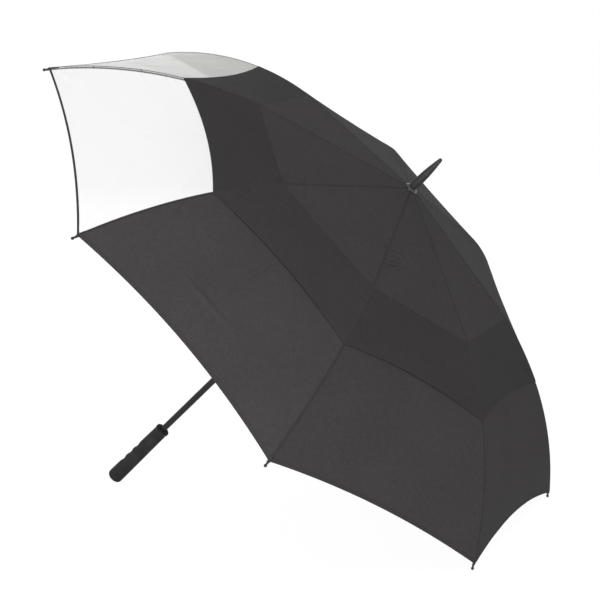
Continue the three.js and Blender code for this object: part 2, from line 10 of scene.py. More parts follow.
import json
import logging
from dataclasses import dataclass, field
from enum import Enum
from math import atan2, cos, exp, pi, radians, sin, tan
from typing import Sequence

import bpy
import numpy as np
from mathutils import Matrix, Vector

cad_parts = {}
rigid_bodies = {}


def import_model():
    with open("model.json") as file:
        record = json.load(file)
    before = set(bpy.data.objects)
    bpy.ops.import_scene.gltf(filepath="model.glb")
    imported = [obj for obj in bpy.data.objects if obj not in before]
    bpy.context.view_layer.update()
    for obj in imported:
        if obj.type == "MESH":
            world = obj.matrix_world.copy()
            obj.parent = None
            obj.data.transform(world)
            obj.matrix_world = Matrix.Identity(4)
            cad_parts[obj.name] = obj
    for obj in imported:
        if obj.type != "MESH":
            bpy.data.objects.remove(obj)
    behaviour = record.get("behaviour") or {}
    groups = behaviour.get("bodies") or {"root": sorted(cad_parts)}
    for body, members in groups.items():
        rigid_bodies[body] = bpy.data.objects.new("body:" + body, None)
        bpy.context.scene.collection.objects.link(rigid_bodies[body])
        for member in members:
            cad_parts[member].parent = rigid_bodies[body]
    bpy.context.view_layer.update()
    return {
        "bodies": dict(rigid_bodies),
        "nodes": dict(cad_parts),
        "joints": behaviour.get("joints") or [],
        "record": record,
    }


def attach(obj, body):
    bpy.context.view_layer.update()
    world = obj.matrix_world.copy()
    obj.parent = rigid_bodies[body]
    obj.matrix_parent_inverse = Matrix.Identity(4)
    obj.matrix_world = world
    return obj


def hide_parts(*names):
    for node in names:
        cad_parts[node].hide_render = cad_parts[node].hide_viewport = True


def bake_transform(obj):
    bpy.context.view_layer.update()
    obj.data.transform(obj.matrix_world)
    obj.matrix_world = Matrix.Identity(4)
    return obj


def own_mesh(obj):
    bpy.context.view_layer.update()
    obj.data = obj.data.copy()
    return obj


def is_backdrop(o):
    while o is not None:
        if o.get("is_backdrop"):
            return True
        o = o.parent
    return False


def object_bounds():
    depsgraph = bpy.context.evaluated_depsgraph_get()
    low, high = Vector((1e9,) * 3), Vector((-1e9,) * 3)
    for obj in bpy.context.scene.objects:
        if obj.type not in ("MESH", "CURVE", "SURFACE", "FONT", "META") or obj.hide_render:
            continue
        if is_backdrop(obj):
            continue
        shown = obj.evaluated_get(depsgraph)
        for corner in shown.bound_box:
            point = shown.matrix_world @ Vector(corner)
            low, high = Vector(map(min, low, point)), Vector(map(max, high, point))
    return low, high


LOG = logging.getLogger("umbrella")
MM = 0.001
RIBS = range(1, 9)
STEP = 2 * pi / len(RIBS)
HALF = STEP / 2
RUNNER_JOINT = "runner_slide"

# The frame's linkage: where the ribs turn on the notch, and where the stretchers turn on the runner.
HINGE_RADIUS = 11 * MM
HINGE_DROP = 10 * MM
PIVOT_RADIUS = 14 * MM
PIVOT_DROP = 4 * MM

# Edges that turn by more than the first of these angles, in degrees, stay sharp. Cut edges that turn by more
# than the second are broken by a little.
SMOOTH_ANGLE = 40
BROKEN_ANGLE = 50
BROKEN_EDGE = 0.2 * MM

Array = np.ndarray
Point = tuple[float, float]
Triple = tuple[float, float, float]
Colour = Triple
Series = tuple[float, ...]
Outline = tuple[Point, ...]
Grid = tuple[Array, Array, Array]
Piece = bpy.types.Object
Material = bpy.types.Material
Tree = bpy.types.NodeTree
Node = bpy.types.Node
Socket = bpy.types.NodeSocket


class Slot(Enum):
    """The record's material slots."""

    CLOTH = "canopy_cloth"
    FILM = "window_film"
    FIBREGLASS = "rib_fibreglass"
    MOULDED = "moulded_plastic"
    COAT = "shaft_coat"
    FOAM = "grip_foam"
    STEEL = "steel"
    CHROME = "chrome"


class Stuff(Enum):
    """What a half of a lower panel is cut from."""

    CLOTH = "cloth"
    FILM = "film"


# ---------------- frame


def rib_turn(n: float) -> float:
    """Angle of rib n about the shaft, or of the middle of panel n for n + 0.5."""
    return (n - 0.5) * STEP - pi


def spun(points: Array, turn: float) -> Array:
    """Points turned about z by an angle."""
    spin = np.array([[cos(turn), -sin(turn), 0], [sin(turn), cos(turn), 0], [0, 0, 1]])
    return points @ spin.T


class Umbrella:
    """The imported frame, and the umbrella's own axes in it."""

    def __init__(self, frame: dict) -> None:
        """Finds the axes from the joints.
        """
        self.nodes = frame["nodes"]
        joints = {joint["name"]: joint for joint in frame["joints"]}
        pivots = [Vector(joints[f"rib_{n}_fold"]["pos_m"]) for n in RIBS]
        up = Vector(joints[RUNNER_JOINT]["axis"]).normalized()
        hub = sum(pivots, Vector()) / len(pivots)
        floorward = ((pivots[3] + pivots[4]) / 2 - hub).normalized()
        turn = Matrix((floorward, up.cross(floorward), up)).transposed().to_4x4()
        self.matrix = Matrix.Translation(hub + up * HINGE_DROP) @ turn

    def rib(self, n: int) -> Matrix:
        """The matrix from rib n's plane, x outwards and z up the shaft, to the frame."""
        return self.matrix @ Matrix.Rotation(rib_turn(n), 4, "Z")

    def across(self, n: int) -> Vector:
        """The direction across rib n's plane, in the frame."""
        return self.rib(n).to_3x3() @ Vector((0, 1, 0))

    def local(self, node: str) -> Array:
        """A frame node's points on the umbrella's own axes."""
        back = self.matrix.inverted()
        return np.array([back @ vertex.co for vertex in self.nodes[node].data.vertices])

    def span(self, node: str) -> tuple[float, float]:
        """The lowest and highest point of a frame node along the shaft."""
        heights = self.local(node)[:, 2]
        return float(heights.min()), float(heights.max())


# ---------------- solids


class Solid:
    """A closed mesh that is being drawn: points and faces."""

    def __init__(self, points: Array, faces: list[tuple[int, ...]]) -> None:
        """Keeps the points, one row each, and the faces, which hold rows of points."""
        self.points = np.asarray(points, float).reshape(-1, 3)
        self.faces = faces

    def moved(self, matrix: Matrix) -> Solid:
        """A copy moved by a matrix."""
        turn = np.array(matrix.to_3x3())
        return Solid(self.points @ turn.T + np.array(matrix.translation), self.faces)

    def joined(self, *others: Solid) -> Solid:
        """This solid and others as one mesh.

        Args:
            others: The solids to add.

        Returns:
            A new solid.
        """
        points, faces = [self.points], list(self.faces)
        count = len(self.points)
        for other in others:
            faces += [tuple(i + count for i in face) for face in other.faces]
            points.append(other.points)
            count += len(other.points)
        return Solid(np.concatenate(points), faces)

    def shown(self, name: str, material: Material) -> Piece:
        """Makes an object of the solid.

        Args:
            name: The piece's name.
            material: Its material.

        Returns:
            The object, linked to the scene.
        """
        mesh = bpy.data.meshes.new(name)
        mesh.from_pydata(self.points.tolist(), [], self.faces)
        mesh.validate()
        mesh.shade_smooth()
        mesh.set_sharp_from_angle(angle=radians(SMOOTH_ANGLE))
        mesh.materials.append(material)
        made = bpy.data.objects.new(name, mesh)
        bpy.context.scene.collection.objects.link(made)
        return made


def grid_faces(rows: int, columns: int, start: int = 0, around: bool = False) -> list[tuple[int, ...]]:
    """Quads of a grid of points.

    Args:
        rows: How many rows of points there are.
        columns: How many points each row has.
        start: The index of the first point.
        around: Whether each row closes on itself.

    Returns:
        The quads, each with four indices.
    """
    wide = columns if around else columns - 1
    faces = []
    for row in range(rows - 1):
        base = start + row * columns
        for column in range(wide):
            after = (column + 1) % columns
            faces.append((base + column, base + after, base + columns + after, base + columns + column))
    return faces


def turned(outline: Sequence[Point], sides: int = 48) -> Solid:
    """A body turned about z.

    Args:
        outline: (radius, height) points that start and end on the axis, or close on themselves.
        sides: How many sides a ring has.

    Returns:
        The closed solid.
    """
    closed = outline[0] == outline[-1]
    inner = outline[:-1] if closed else outline[1:-1]
    turns = np.arange(sides) * 2 * pi / sides
    rings = [[(r * cos(a), r * sin(a), z) for a in turns] for r, z in inner]
    if closed:
        rings.append(rings[0])
        faces = grid_faces(len(rings), sides, around=True)
        last = (len(rings) - 1) * sides
        faces = [tuple(i - last if i >= last else i for i in face) for face in faces]
        return Solid(np.array(rings[:-1]), faces)
    points = np.concatenate([np.array(rings).reshape(-1, 3), [(0, 0, outline[0][1]), (0, 0, outline[-1][1])]])
    faces = grid_faces(len(rings), sides, around=True)
    count = len(rings) * sides
    for side in range(sides):
        after = (side + 1) % sides
        faces.append((count, after, side))
        faces.append((count + 1, count - sides + side, count - sides + after))
    return Solid(points, faces)


def rounded(outline: Sequence[Point], radius: float, ends: bool = False) -> list[Point]:
    """An outline with its corners rounded.

    Args:
        outline: The corners.
        radius: How far before and after a corner the round starts and ends.
        ends: Whether the outline closes on itself, so that its first corner is rounded too.

    Returns:
        The new outline.
    """
    steps = 4
    most = 0.45  # the largest share of a side that one round takes up
    corners = [np.array(p, float) for p in outline]
    if ends:
        corners = corners[:-1]
    made: list[Point] = []
    for i, corner in enumerate(corners):
        if not ends and i in (0, len(corners) - 1):
            made.append(tuple(corner))
            continue
        before = corners[i - 1] - corner
        after = corners[(i + 1) % len(corners)] - corner
        reach = min(radius, most * np.linalg.norm(before), most * np.linalg.norm(after))
        start = corner + before / np.linalg.norm(before) * reach
        end = corner + after / np.linalg.norm(after) * reach
        for t in np.linspace(0, 1, steps + 1):
            made.append(tuple((1 - t) ** 2 * start + 2 * t * (1 - t) * corner + t * t * end))
    if ends:
        made.append(made[0])
    return made


def rod(path: Array, radii: Sequence[float] | float, sides: int = 14, flat: float = 1.0) -> Solid:
    """A closed rod along points of a rib's plane, with rounded ends.

    Args:
        path: The points of its middle line, as (x, z).
        radii: Its radius at each point, or one for all.
        sides: How many sides its section has.
        flat: How thick the section is across the rib's plane, as a share of its height.

    Returns:
        The closed solid.
    """
    dome, bluntness = (0.5, 1.0, 1.35), 0.5  # the angles that an end is drawn at, and its height in radii
    path = np.asarray(path, float)
    radii = np.broadcast_to(np.asarray(radii, float), len(path)).copy()
    ahead = np.gradient(path, axis=0)
    ahead /= np.linalg.norm(ahead, axis=1)[:, None]
    ends = []
    for point, way, radius in ((path[0], -ahead[0], radii[0]), (path[-1], ahead[-1], radii[-1])):
        ends.append([(point + way * radius * bluntness * sin(a), radius * cos(a)) for a in dome])
    line = [p for p, _ in ends[0][::-1]] + list(path) + [p for p, _ in ends[1]]
    size = [r for _, r in ends[0][::-1]] + list(radii) + [r for _, r in ends[1]]
    ways = [ahead[0]] * len(dome) + list(ahead) + [ahead[-1]] * len(dome)
    turns = np.arange(sides) * 2 * pi / sides
    points = []
    for point, radius, way in zip(line, size, ways):
        for a in turns:
            off = radius * cos(a)
            points.append((point[0] - way[1] * off, radius * flat * sin(a), point[1] + way[0] * off))
    faces = grid_faces(len(line), sides, around=True)
    faces.append(tuple(range(sides))[::-1])
    faces.append(tuple(range((len(line) - 1) * sides, len(line) * sides)))
    return Solid(np.array(points), faces)


def plate(outline: Sequence[Point], low: float, high: float, edge: float = 0.25 * MM) -> Solid:
    """A plate cut to an outline in a rib's plane, with its edges broken.

    Args:
        outline: Its (x, z) corners, anticlockwise, each once.
        low: Where it starts across the plane.
        high: Where it ends across the plane.
        edge: How much is taken off its edges.

    Returns:
        The closed solid.
    """
    corners = np.array(outline, float)
    before, after = np.roll(corners, 1, 0) - corners, np.roll(corners, -1, 0) - corners
    before /= np.linalg.norm(before, axis=1)[:, None]
    after /= np.linalg.norm(after, axis=1)[:, None]
    side = np.stack([-(after - before)[:, 1], (after - before)[:, 0]], 1)
    side /= np.linalg.norm(side, axis=1)[:, None]
    shrunk = corners + side * edge
    rings = [(shrunk, low), (corners, low + edge), (corners, high - edge), (shrunk, high)]
    points = [(x, y, z) for ring, y in rings for x, z in ring]
    count = len(corners)
    faces = grid_faces(len(rings), count, around=True)
    faces.append(tuple(range(count))[::-1])
    faces.append(tuple(range((len(rings) - 1) * count, len(rings) * count)))
    return Solid(np.array(points), faces)


def arc(radius: float, start: float, end: float, middle: Point = (0, 0)) -> list[Point]:
    """Points of an arc.

    Args:
        radius: Its radius.
        start: The angle of its first point, in degrees.
        end: The angle of its last point.
        middle: Its middle.

    Returns:
        The points.
    """
    steps = 8
    turns = np.radians(np.linspace(start, end, steps + 1))
    return [(middle[0] + radius * cos(a), middle[1] + radius * sin(a)) for a in turns]


def lying(solid: Solid) -> Solid:
    """A body turned about z, laid down so that its axis runs across a rib's plane."""
    return solid.moved(Matrix.Rotation(pi / 2, 4, "X"))


def slotted(made: Piece, cutters: Solid) -> Piece:
    """Cuts solids out of an object and breaks the new edges.

    Args:
        made: The object to cut.
        cutters: What is taken away.

    Returns:
        The same object, with a new mesh.
    """
    tool = cutters.shown("cutter", made.data.materials[0])
    cut = made.modifiers.new("cut", "BOOLEAN")
    cut.operation, cut.solver, cut.object = "DIFFERENCE", "EXACT", tool
    edge = made.modifiers.new("edge", "BEVEL")
    edge.width, edge.segments = BROKEN_EDGE, 2
    edge.limit_method, edge.angle_limit = "ANGLE", radians(BROKEN_ANGLE)
    graph = bpy.context.evaluated_depsgraph_get()
    mesh = bpy.data.meshes.new_from_object(made.evaluated_get(graph))
    made.modifiers.clear()
    made.data = mesh
    mesh.shade_smooth()
    mesh.set_sharp_from_angle(angle=radians(SMOOTH_ANGLE))
    bpy.data.objects.remove(tool)
    return made


def box(low: Sequence[float], high: Sequence[float]) -> Solid:
    """A plain box, for cutting.

    Args:
        low: Its lowest corner.
        high: Its highest corner.

    Returns:
        The closed solid.
    """
    corners = [(x, y, z) for z in (low[2], high[2]) for y in (low[1], high[1]) for x in (low[0], high[0])]
    faces = [(0, 2, 3, 1), (4, 5, 7, 6), (0, 1, 5, 4), (2, 6, 7, 3), (0, 4, 6, 2), (1, 3, 7, 5)]
    return Solid(np.array(corners), faces)


def slots_between_ribs(inner: float, outer: float, width: float, low: float, high: float) -> Solid:
    """Eight slots for cutting, one in each rib's plane.

    Args:
        inner: The radius that they start at.
        outer: The radius that they end at.
        width: Their width.
        low: Their lowest height.
        high: Their greatest height.

    Returns:
        The slots as one solid.
    """
    slot = box((inner, -width / 2, low), (outer, width / 2, high))
    first, *rest = [slot.moved(Matrix.Rotation(rib_turn(n), 4, "Z")) for n in RIBS]
    return first.joined(*rest)


# ---------------- materials


class Nodes:
    """A node tree that is being wired."""

    def __init__(self, tree: Tree) -> None:
        """Keeps the tree."""
        self.tree = tree

    def add(self, kind: str, **settings: object) -> Node:
        """Adds a node.

        Args:
            kind: Its type, such as ShaderNodeMath.
            settings: Its own properties.

        Returns:
            The node.
        """
        node = self.tree.nodes.new(kind)
        for name, value in settings.items():
            setattr(node, name, value)
        return node

    def feed(self, node: Node, **values: object) -> Node:
        """Sets or links a node's inputs, named with underscores for spaces.

        Args:
            node: The node.
            values: A socket to link, or a plain value, for each input.

        Returns:
            The same node.
        """
        for name, value in values.items():
            target = node.inputs[int(name[1:]) if name[1:].isdigit() else name.replace("_", " ")]
            if isinstance(value, Socket):
                self.tree.links.new(value, target)
            else:
                target.default_value = value
        return node

    def math(self, operation: str, first: object, second: object = 0.0) -> Socket:
        """The result of a Math node on two sockets or numbers."""
        node = self.add("ShaderNodeMath", operation=operation)
        return self.feed(node, i0=first, i1=second).outputs[0]

    def noise(self, vector: Socket, scale: float, detail: float = 3.0, rough: float = 0.5) -> Socket:
        """The value of a Noise Texture at a scale."""
        node = self.add("ShaderNodeTexNoise")
        return self.feed(node, Vector=vector, Scale=scale, Detail=detail, Roughness=rough).outputs["Fac"]

    def stretch(self, vector: Socket, scale: Sequence[float]) -> Socket:
        """A vector scaled on each axis."""
        node = self.add("ShaderNodeVectorMath", operation="MULTIPLY")
        return self.feed(node, i0=vector, i1=tuple(scale)).outputs[0]

    def scale(self, vector: Socket, share: Socket) -> Socket:
        """A vector or a colour times a number."""
        node = self.add("ShaderNodeVectorMath", operation="SCALE")
        return self.feed(node, i0=vector, Scale=share).outputs[0]

    def spread(self, value: Socket, low: float, high: float, to_low: float, to_high: float) -> Socket:
        """A value moved from one range into another, smoothly and without leaving it."""
        node = self.add("ShaderNodeMapRange", interpolation_type="SMOOTHSTEP")
        return self.feed(node, i0=value, i1=low, i2=high, i3=to_low, i4=to_high).outputs[0]

    def blend(self, share: Socket, first: object, second: object) -> Socket:
        """A colour between two, by a share."""
        node = self.add("ShaderNodeMix", data_type="RGBA")
        return self.feed(node, i0=share, i6=first, i7=second).outputs[2]


def paint(colour: Colour, share: float = 1.0) -> tuple[float, float, float, float]:
    """A colour times a share, as a shader takes it."""
    return (*(share * part for part in colour), 1)


def new_group(name: str, inputs: Sequence[str], outputs: Sequence[str]) -> tuple[Nodes, Node, Node]:
    """Starts a shader node group.

    Args:
        name: The group's name.
        inputs: Its input sockets. Vector is a vector, and the others are numbers.
        outputs: Its output sockets, all numbers.

    Returns:
        The wiring helper, the group's input node and its output node.
    """
    tree = bpy.data.node_groups.new(name, "ShaderNodeTree")
    for label in inputs:
        kind = "NodeSocketVector" if label == "Vector" else "NodeSocketFloat"
        tree.interface.new_socket(label, in_out="INPUT", socket_type=kind)
    for label in outputs:
        tree.interface.new_socket(label, in_out="OUTPUT", socket_type="NodeSocketFloat")
    nodes = Nodes(tree)
    return nodes, nodes.add("NodeGroupInput"), nodes.add("NodeGroupOutput")


def plain_weave() -> Tree:
    """Group of a plain weave: threads that pass over and under, and slubs that run along them.

    Returns:
        The group.
    """
    close, long = 2600, 60
    nodes, given, made = new_group("plain_weave", ("Vector", "Threads"), ("Height", "Slub"))
    cut = given.outputs["Vector"]
    parts = nodes.feed(nodes.add("ShaderNodeSeparateXYZ"), Vector=nodes.scale(cut, given.outputs["Threads"]))
    waves = [nodes.math("SINE", nodes.math("MULTIPLY", parts.outputs[axis], pi)) for axis in (0, 1)]
    over = nodes.math("MULTIPLY", *waves)
    runs = [nodes.noise(nodes.stretch(cut, (*scale, 1)), 1.0, detail=2.0)
            for scale in ((close, long), (long, close))]
    slub = nodes.math("MULTIPLY", nodes.math("ADD", *runs), 0.5)
    height = nodes.math("ADD", nodes.math("MULTIPLY", over, 0.5), slub)
    nodes.feed(made, Height=height, Slub=slub)
    return nodes.tree


def stitch_line() -> Tree:
    """Group of one row of stitches: a mask of short dashes at a distance from an edge.

    Returns:
        The group.
    """
    thread_edge, dash_end = (0.3 * MM, 0.7 * MM), (0.34, 0.44)
    nodes, given, made = new_group("stitch_line", ("Along", "Away", "Place", "Pitch"), ("Thread",))
    off = nodes.math("ABSOLUTE", nodes.math("SUBTRACT", given.outputs["Away"], given.outputs["Place"]))
    across = nodes.spread(off, *thread_edge, 1.0, 0.0)
    turn = nodes.math("FRACT", nodes.math("DIVIDE", given.outputs["Along"], given.outputs["Pitch"]))
    gap = nodes.spread(nodes.math("ABSOLUTE", nodes.math("SUBTRACT", turn, 0.5)), *dash_end, 1.0, 0.0)
    nodes.feed(made, Thread=nodes.math("MULTIPLY", across, gap))
    return nodes.tree


def moulded_grain() -> Tree:
    """Group of a fine moulded grain, with the slow shade of a filled plastic.

    Returns:
        The group.
    """
    shade_scale = 45.0
    nodes, given, made = new_group("moulded_grain", ("Vector", "Size"), ("Height", "Shade"))
    place = given.outputs["Vector"]
    fine = nodes.noise(nodes.scale(place, nodes.math("DIVIDE", 1.0, given.outputs["Size"])), 1.0,
                       detail=4.0, rough=0.6)
    nodes.feed(made, Height=fine, Shade=nodes.noise(place, shade_scale, detail=2.0))
    return nodes.tree


def handling_marks() -> Tree:
    """Group of faint rubbed patches and hairline scratches.

    Returns:
        The group.
    """
    patch_scale, patch_edge = 38.0, (0.48, 0.7)
    hair_scale, hair_edge, hair_depth = (90, 1400, 700), (0.68, 0.74), 0.6
    nodes, given, made = new_group("handling_marks", ("Vector", "Amount"), ("Rub",))
    place = given.outputs["Vector"]
    patches = nodes.spread(nodes.noise(place, patch_scale, detail=5.0, rough=0.62), *patch_edge, 0.0, 1.0)
    hair = nodes.noise(nodes.stretch(place, hair_scale), 1.0, detail=2.0)
    lines = nodes.spread(hair, *hair_edge, 0.0, hair_depth)
    rub = nodes.math("MULTIPLY", nodes.math("MAXIMUM", patches, lines), given.outputs["Amount"])
    nodes.feed(made, Rub=rub)
    return nodes.tree


class Workshop:
    """The shader groups, each built once, and a start for each material."""

    def __init__(self) -> None:
        """Builds the groups."""
        self.weave = plain_weave()
        self.stitches = stitch_line()
        self.grain = moulded_grain()
        self.marks = handling_marks()

    def start(self, name: str) -> tuple[Material, Nodes, Node]:
        """A new material.

        Args:
            name: Its name.

        Returns:
            The material, its wiring helper and its Principled shader.
        """
        material = bpy.data.materials.new(name)
        material.use_nodes = True
        nodes = Nodes(material.node_tree)
        return material, nodes, material.node_tree.nodes["Principled BSDF"]

    def place(self, nodes: Nodes, tree: Tree, **values: object) -> Node:
        """Puts a group into a material, with the material's own values."""
        return nodes.feed(nodes.add("ShaderNodeGroup", node_tree=tree), **values)

    def bump(self, nodes: Nodes, shader: Node, height: Socket, depth: float, strength: float) -> None:
        """Gives a shader a bump.

        Args:
            nodes: The material's wiring helper.
            shader: Its Principled shader.
            height: The bump's height, from 0 to 1.
            depth: What a height of 1 measures.
            strength: How much of it shows.
        """
        node = nodes.feed(nodes.add("ShaderNodeBump"), Height=height, Distance=depth, Strength=strength)
        nodes.feed(shader, Normal=node.outputs[0])


@dataclass(frozen=True)
class ClothFinish:
    """Black pongee with stitched hems, and painted shade where two layers lie on each other."""

    name: str = "black_pongee"
    colour: Colour = (0.054, 0.0505, 0.052)
    # Painted shade: the colour where two layers lie on each other, darker for the less light that shines
    # through them.
    doubled_shade: Colour = (0.044, 0.041, 0.0425)
    thread: Colour = (0.044, 0.042, 0.042)
    roughness: float = 0.82
    rough_spread: float = 0.07
    sheen: float = 0.015
    sheen_roughness: float = 0.4
    specular: float = 0.07
    threads_per_metre: float = 3200
    hem_stitch: float = 7 * MM
    hem_fold_shade: float = 0.4
    seam_stitch: float = 2.2 * MM
    seam_allowance: float = 3.0 * MM
    stitch_pitch: float = 3.2 * MM
    stitch_height: float = 2.0
    cloud_scale: float = 5.0
    clouds: Point = (0.95, 1.05)
    streak_scales: tuple[Triple, ...] = ((640, 80, 1), (80, 640, 1))
    streaks: Point = (0.9, 1.1)
    slubs: Point = (0.93, 1.07)
    relief: float = 0.07 * MM

    def material(self, shop: Workshop) -> Material:
        """Builds the material.

        Args:
            shop: The shader groups.

        Returns:
            The material.
        """
        made, nodes, shader = shop.start(self.name)
        cut = nodes.add("ShaderNodeUVMap", uv_map="cut").outputs[0]
        place = nodes.add("ShaderNodeUVMap", uv_map="place").outputs[0]
        weave = shop.place(nodes, shop.weave, Vector=cut, Threads=self.threads_per_metre)
        across, along, _ = nodes.feed(nodes.add("ShaderNodeSeparateXYZ"), Vector=cut).outputs
        overlap, from_edge, _ = nodes.feed(nodes.add("ShaderNodeSeparateXYZ"), Vector=place).outputs
        from_rib = nodes.math("ABSOLUTE", across)
        rows = ((across, from_edge, self.hem_stitch), (along, from_rib, self.seam_stitch))
        stitched = [shop.place(nodes, shop.stitches, Along=run, Away=away, Place=at, Pitch=self.stitch_pitch)
                    for run, away, at in rows]
        thread = nodes.math("MAXIMUM", *(row.outputs[0] for row in stitched))
        # Painted shade: the ring under the vent, the hem's fold and the felled seams take the darker colour,
        # for the less light that shines through two layers. The ring's darkening starts 2 mm outside it, as a
        # soft painted contact shadow.
        layers = nodes.spread(overlap, -2 * MM, 0.0, 0.0, 1.0)
        folded = nodes.spread(from_edge, self.hem_stitch + 1 * MM, self.hem_stitch + 2 * MM,
                              self.hem_fold_shade, 0.0)
        felled = nodes.spread(from_rib, self.seam_allowance - 0.3 * MM, self.seam_allowance + 0.5 * MM,
                              1.0, 0.0)
        layers = nodes.math("MAXIMUM", layers, nodes.math("MAXIMUM", folded, felled))
        cloudy = nodes.spread(nodes.noise(cut, self.cloud_scale, detail=3.0, rough=0.55),
                              0.3, 0.7, *self.clouds)
        streaks = [nodes.noise(nodes.stretch(cut, scale), 1.0, detail=2.0, rough=0.6)
                   for scale in self.streak_scales]
        mottled = nodes.spread(nodes.math("ADD", *streaks), 0.75, 1.25, *self.streaks)
        slubbed = nodes.spread(weave.outputs["Slub"], 0.3, 0.7, *self.slubs)
        tone = nodes.math("MULTIPLY", nodes.math("MULTIPLY", cloudy, mottled), slubbed)
        shade = nodes.scale(nodes.blend(layers, paint(self.colour), paint(self.doubled_shade)), tone)
        rough = nodes.spread(weave.outputs["Slub"], 0.3, 0.7, self.roughness + self.rough_spread,
                             self.roughness - self.rough_spread)
        nodes.feed(shader, Base_Color=nodes.blend(thread, shade, paint(self.thread)), Roughness=rough,
                   Sheen_Weight=self.sheen, Sheen_Roughness=self.sheen_roughness,
                   Specular_IOR_Level=self.specular)
        raised = nodes.math("MULTIPLY", thread, self.stitch_height)
        height = nodes.math("ADD", weave.outputs["Height"], raised)
        shop.bump(nodes, shader, height, self.relief, 0.7)
        return made


@dataclass(frozen=True)
class FilmFinish:
    """Clear soft film, a little milky, with faint cloudy patches."""

    name: str = "clear_film"
    colour: Colour = (0.785, 0.795, 0.775)
    cloud_scale: float = 14.0
    cloud_tone: float = 0.96
    alpha: float = 0.115
    grazing_alpha: float = 0.66
    facing_blend: float = 0.25
    grazing: Point = (0.2, 0.45)
    roughness: float = 0.16
    rough_spread: Point = (-0.05, 0.09)
    specular: float = 0.08
    wave_scale: float = 22.0
    relief: float = 0.3 * MM

    def material(self, shop: Workshop) -> Material:
        """Builds the material.

        Args:
            shop: The shader groups.

        Returns:
            The material.
        """
        made, nodes, shader = shop.start(self.name)
        cut = nodes.add("ShaderNodeUVMap", uv_map="cut").outputs[0]
        cloudy = nodes.noise(cut, self.cloud_scale, detail=4.0, rough=0.55)
        rough = nodes.spread(cloudy, 0.3, 0.7, *(self.roughness + off for off in self.rough_spread))
        milky = nodes.blend(nodes.spread(cloudy, 0.35, 0.65, 0.0, 1.0), paint(self.colour),
                            paint(self.colour, self.cloud_tone))
        facing = nodes.feed(nodes.add("ShaderNodeLayerWeight"), Blend=self.facing_blend).outputs["Facing"]
        haze = nodes.spread(facing, *self.grazing, self.alpha, self.grazing_alpha)
        nodes.feed(shader, Base_Color=milky, Roughness=rough, Alpha=haze, Specular_IOR_Level=self.specular)
        shop.bump(nodes, shader, nodes.noise(cut, self.wave_scale), self.relief, 0.5)
        return made


@dataclass(frozen=True)
class RodFinish:
    """Resin rod with fine fibres along it, or a coated tube with a soft orange peel."""

    name: str
    colour: Colour
    roughness: float
    fibres: float
    specular: float = 0.4
    fibre_scale: float = 1800
    fibre_tone: float = 1.35
    peel: float = 2.5 * MM
    rubbed: float = 0.12
    relief: float = 0.03 * MM

    def material(self, shop: Workshop) -> Material:
        """Builds the material.

        Args:
            shop: The shader groups.

        Returns:
            The material.
        """
        made, nodes, shader = shop.start(self.name)
        place = nodes.add("ShaderNodeTexCoord").outputs["Object"]
        streaks = nodes.noise(nodes.stretch(place, (self.fibre_scale,) * 3), 1.0, detail=2.0)
        fibres = nodes.math("MULTIPLY", streaks, self.fibres)
        grain = shop.place(nodes, shop.grain, Vector=place, Size=self.peel)
        marks = shop.place(nodes, shop.marks, Vector=place, Amount=1.0)
        colour = nodes.blend(fibres, paint(self.colour), paint(self.colour, self.fibre_tone))
        rough = nodes.spread(marks.outputs[0], 0.0, 1.0, self.roughness, self.roughness + self.rubbed)
        nodes.feed(shader, Base_Color=colour, Roughness=rough, Specular_IOR_Level=self.specular)
        shop.bump(nodes, shader, nodes.math("ADD", grain.outputs["Height"], fibres), self.relief, 0.5)
        return made


@dataclass(frozen=True)
class MouldedFinish:
    """Satin moulded plastic."""

    name: str = "satin_moulding"
    colour: Colour = (0.018, 0.018, 0.017)
    shade_tone: float = 1.25
    worn: Colour = (0.075, 0.075, 0.073)
    wear: float = 0.35
    marks: float = 0.8
    roughness: float = 0.55
    rubbed: float = 0.14
    specular: float = 0.4
    grain: float = 0.35 * MM
    relief: float = 0.04 * MM

    def material(self, shop: Workshop) -> Material:
        """Builds the material.

        Args:
            shop: The shader groups.

        Returns:
            The material.
        """
        made, nodes, shader = shop.start(self.name)
        place = nodes.add("ShaderNodeTexCoord").outputs["Object"]
        grain = shop.place(nodes, shop.grain, Vector=place, Size=self.grain)
        marks = shop.place(nodes, shop.marks, Vector=place, Amount=self.marks)
        colour = nodes.blend(nodes.spread(grain.outputs["Shade"], 0.35, 0.65, 0.0, 1.0), paint(self.colour),
                             paint(self.colour, self.shade_tone))
        worn = nodes.blend(nodes.math("MULTIPLY", marks.outputs[0], self.wear), colour, paint(self.worn))
        rough = nodes.spread(marks.outputs[0], 0.0, 1.0, self.roughness, self.roughness + self.rubbed)
        nodes.feed(shader, Base_Color=worn, Roughness=rough, Specular_IOR_Level=self.specular)
        shop.bump(nodes, shader, grain.outputs["Height"], self.relief, 0.6)
        return made


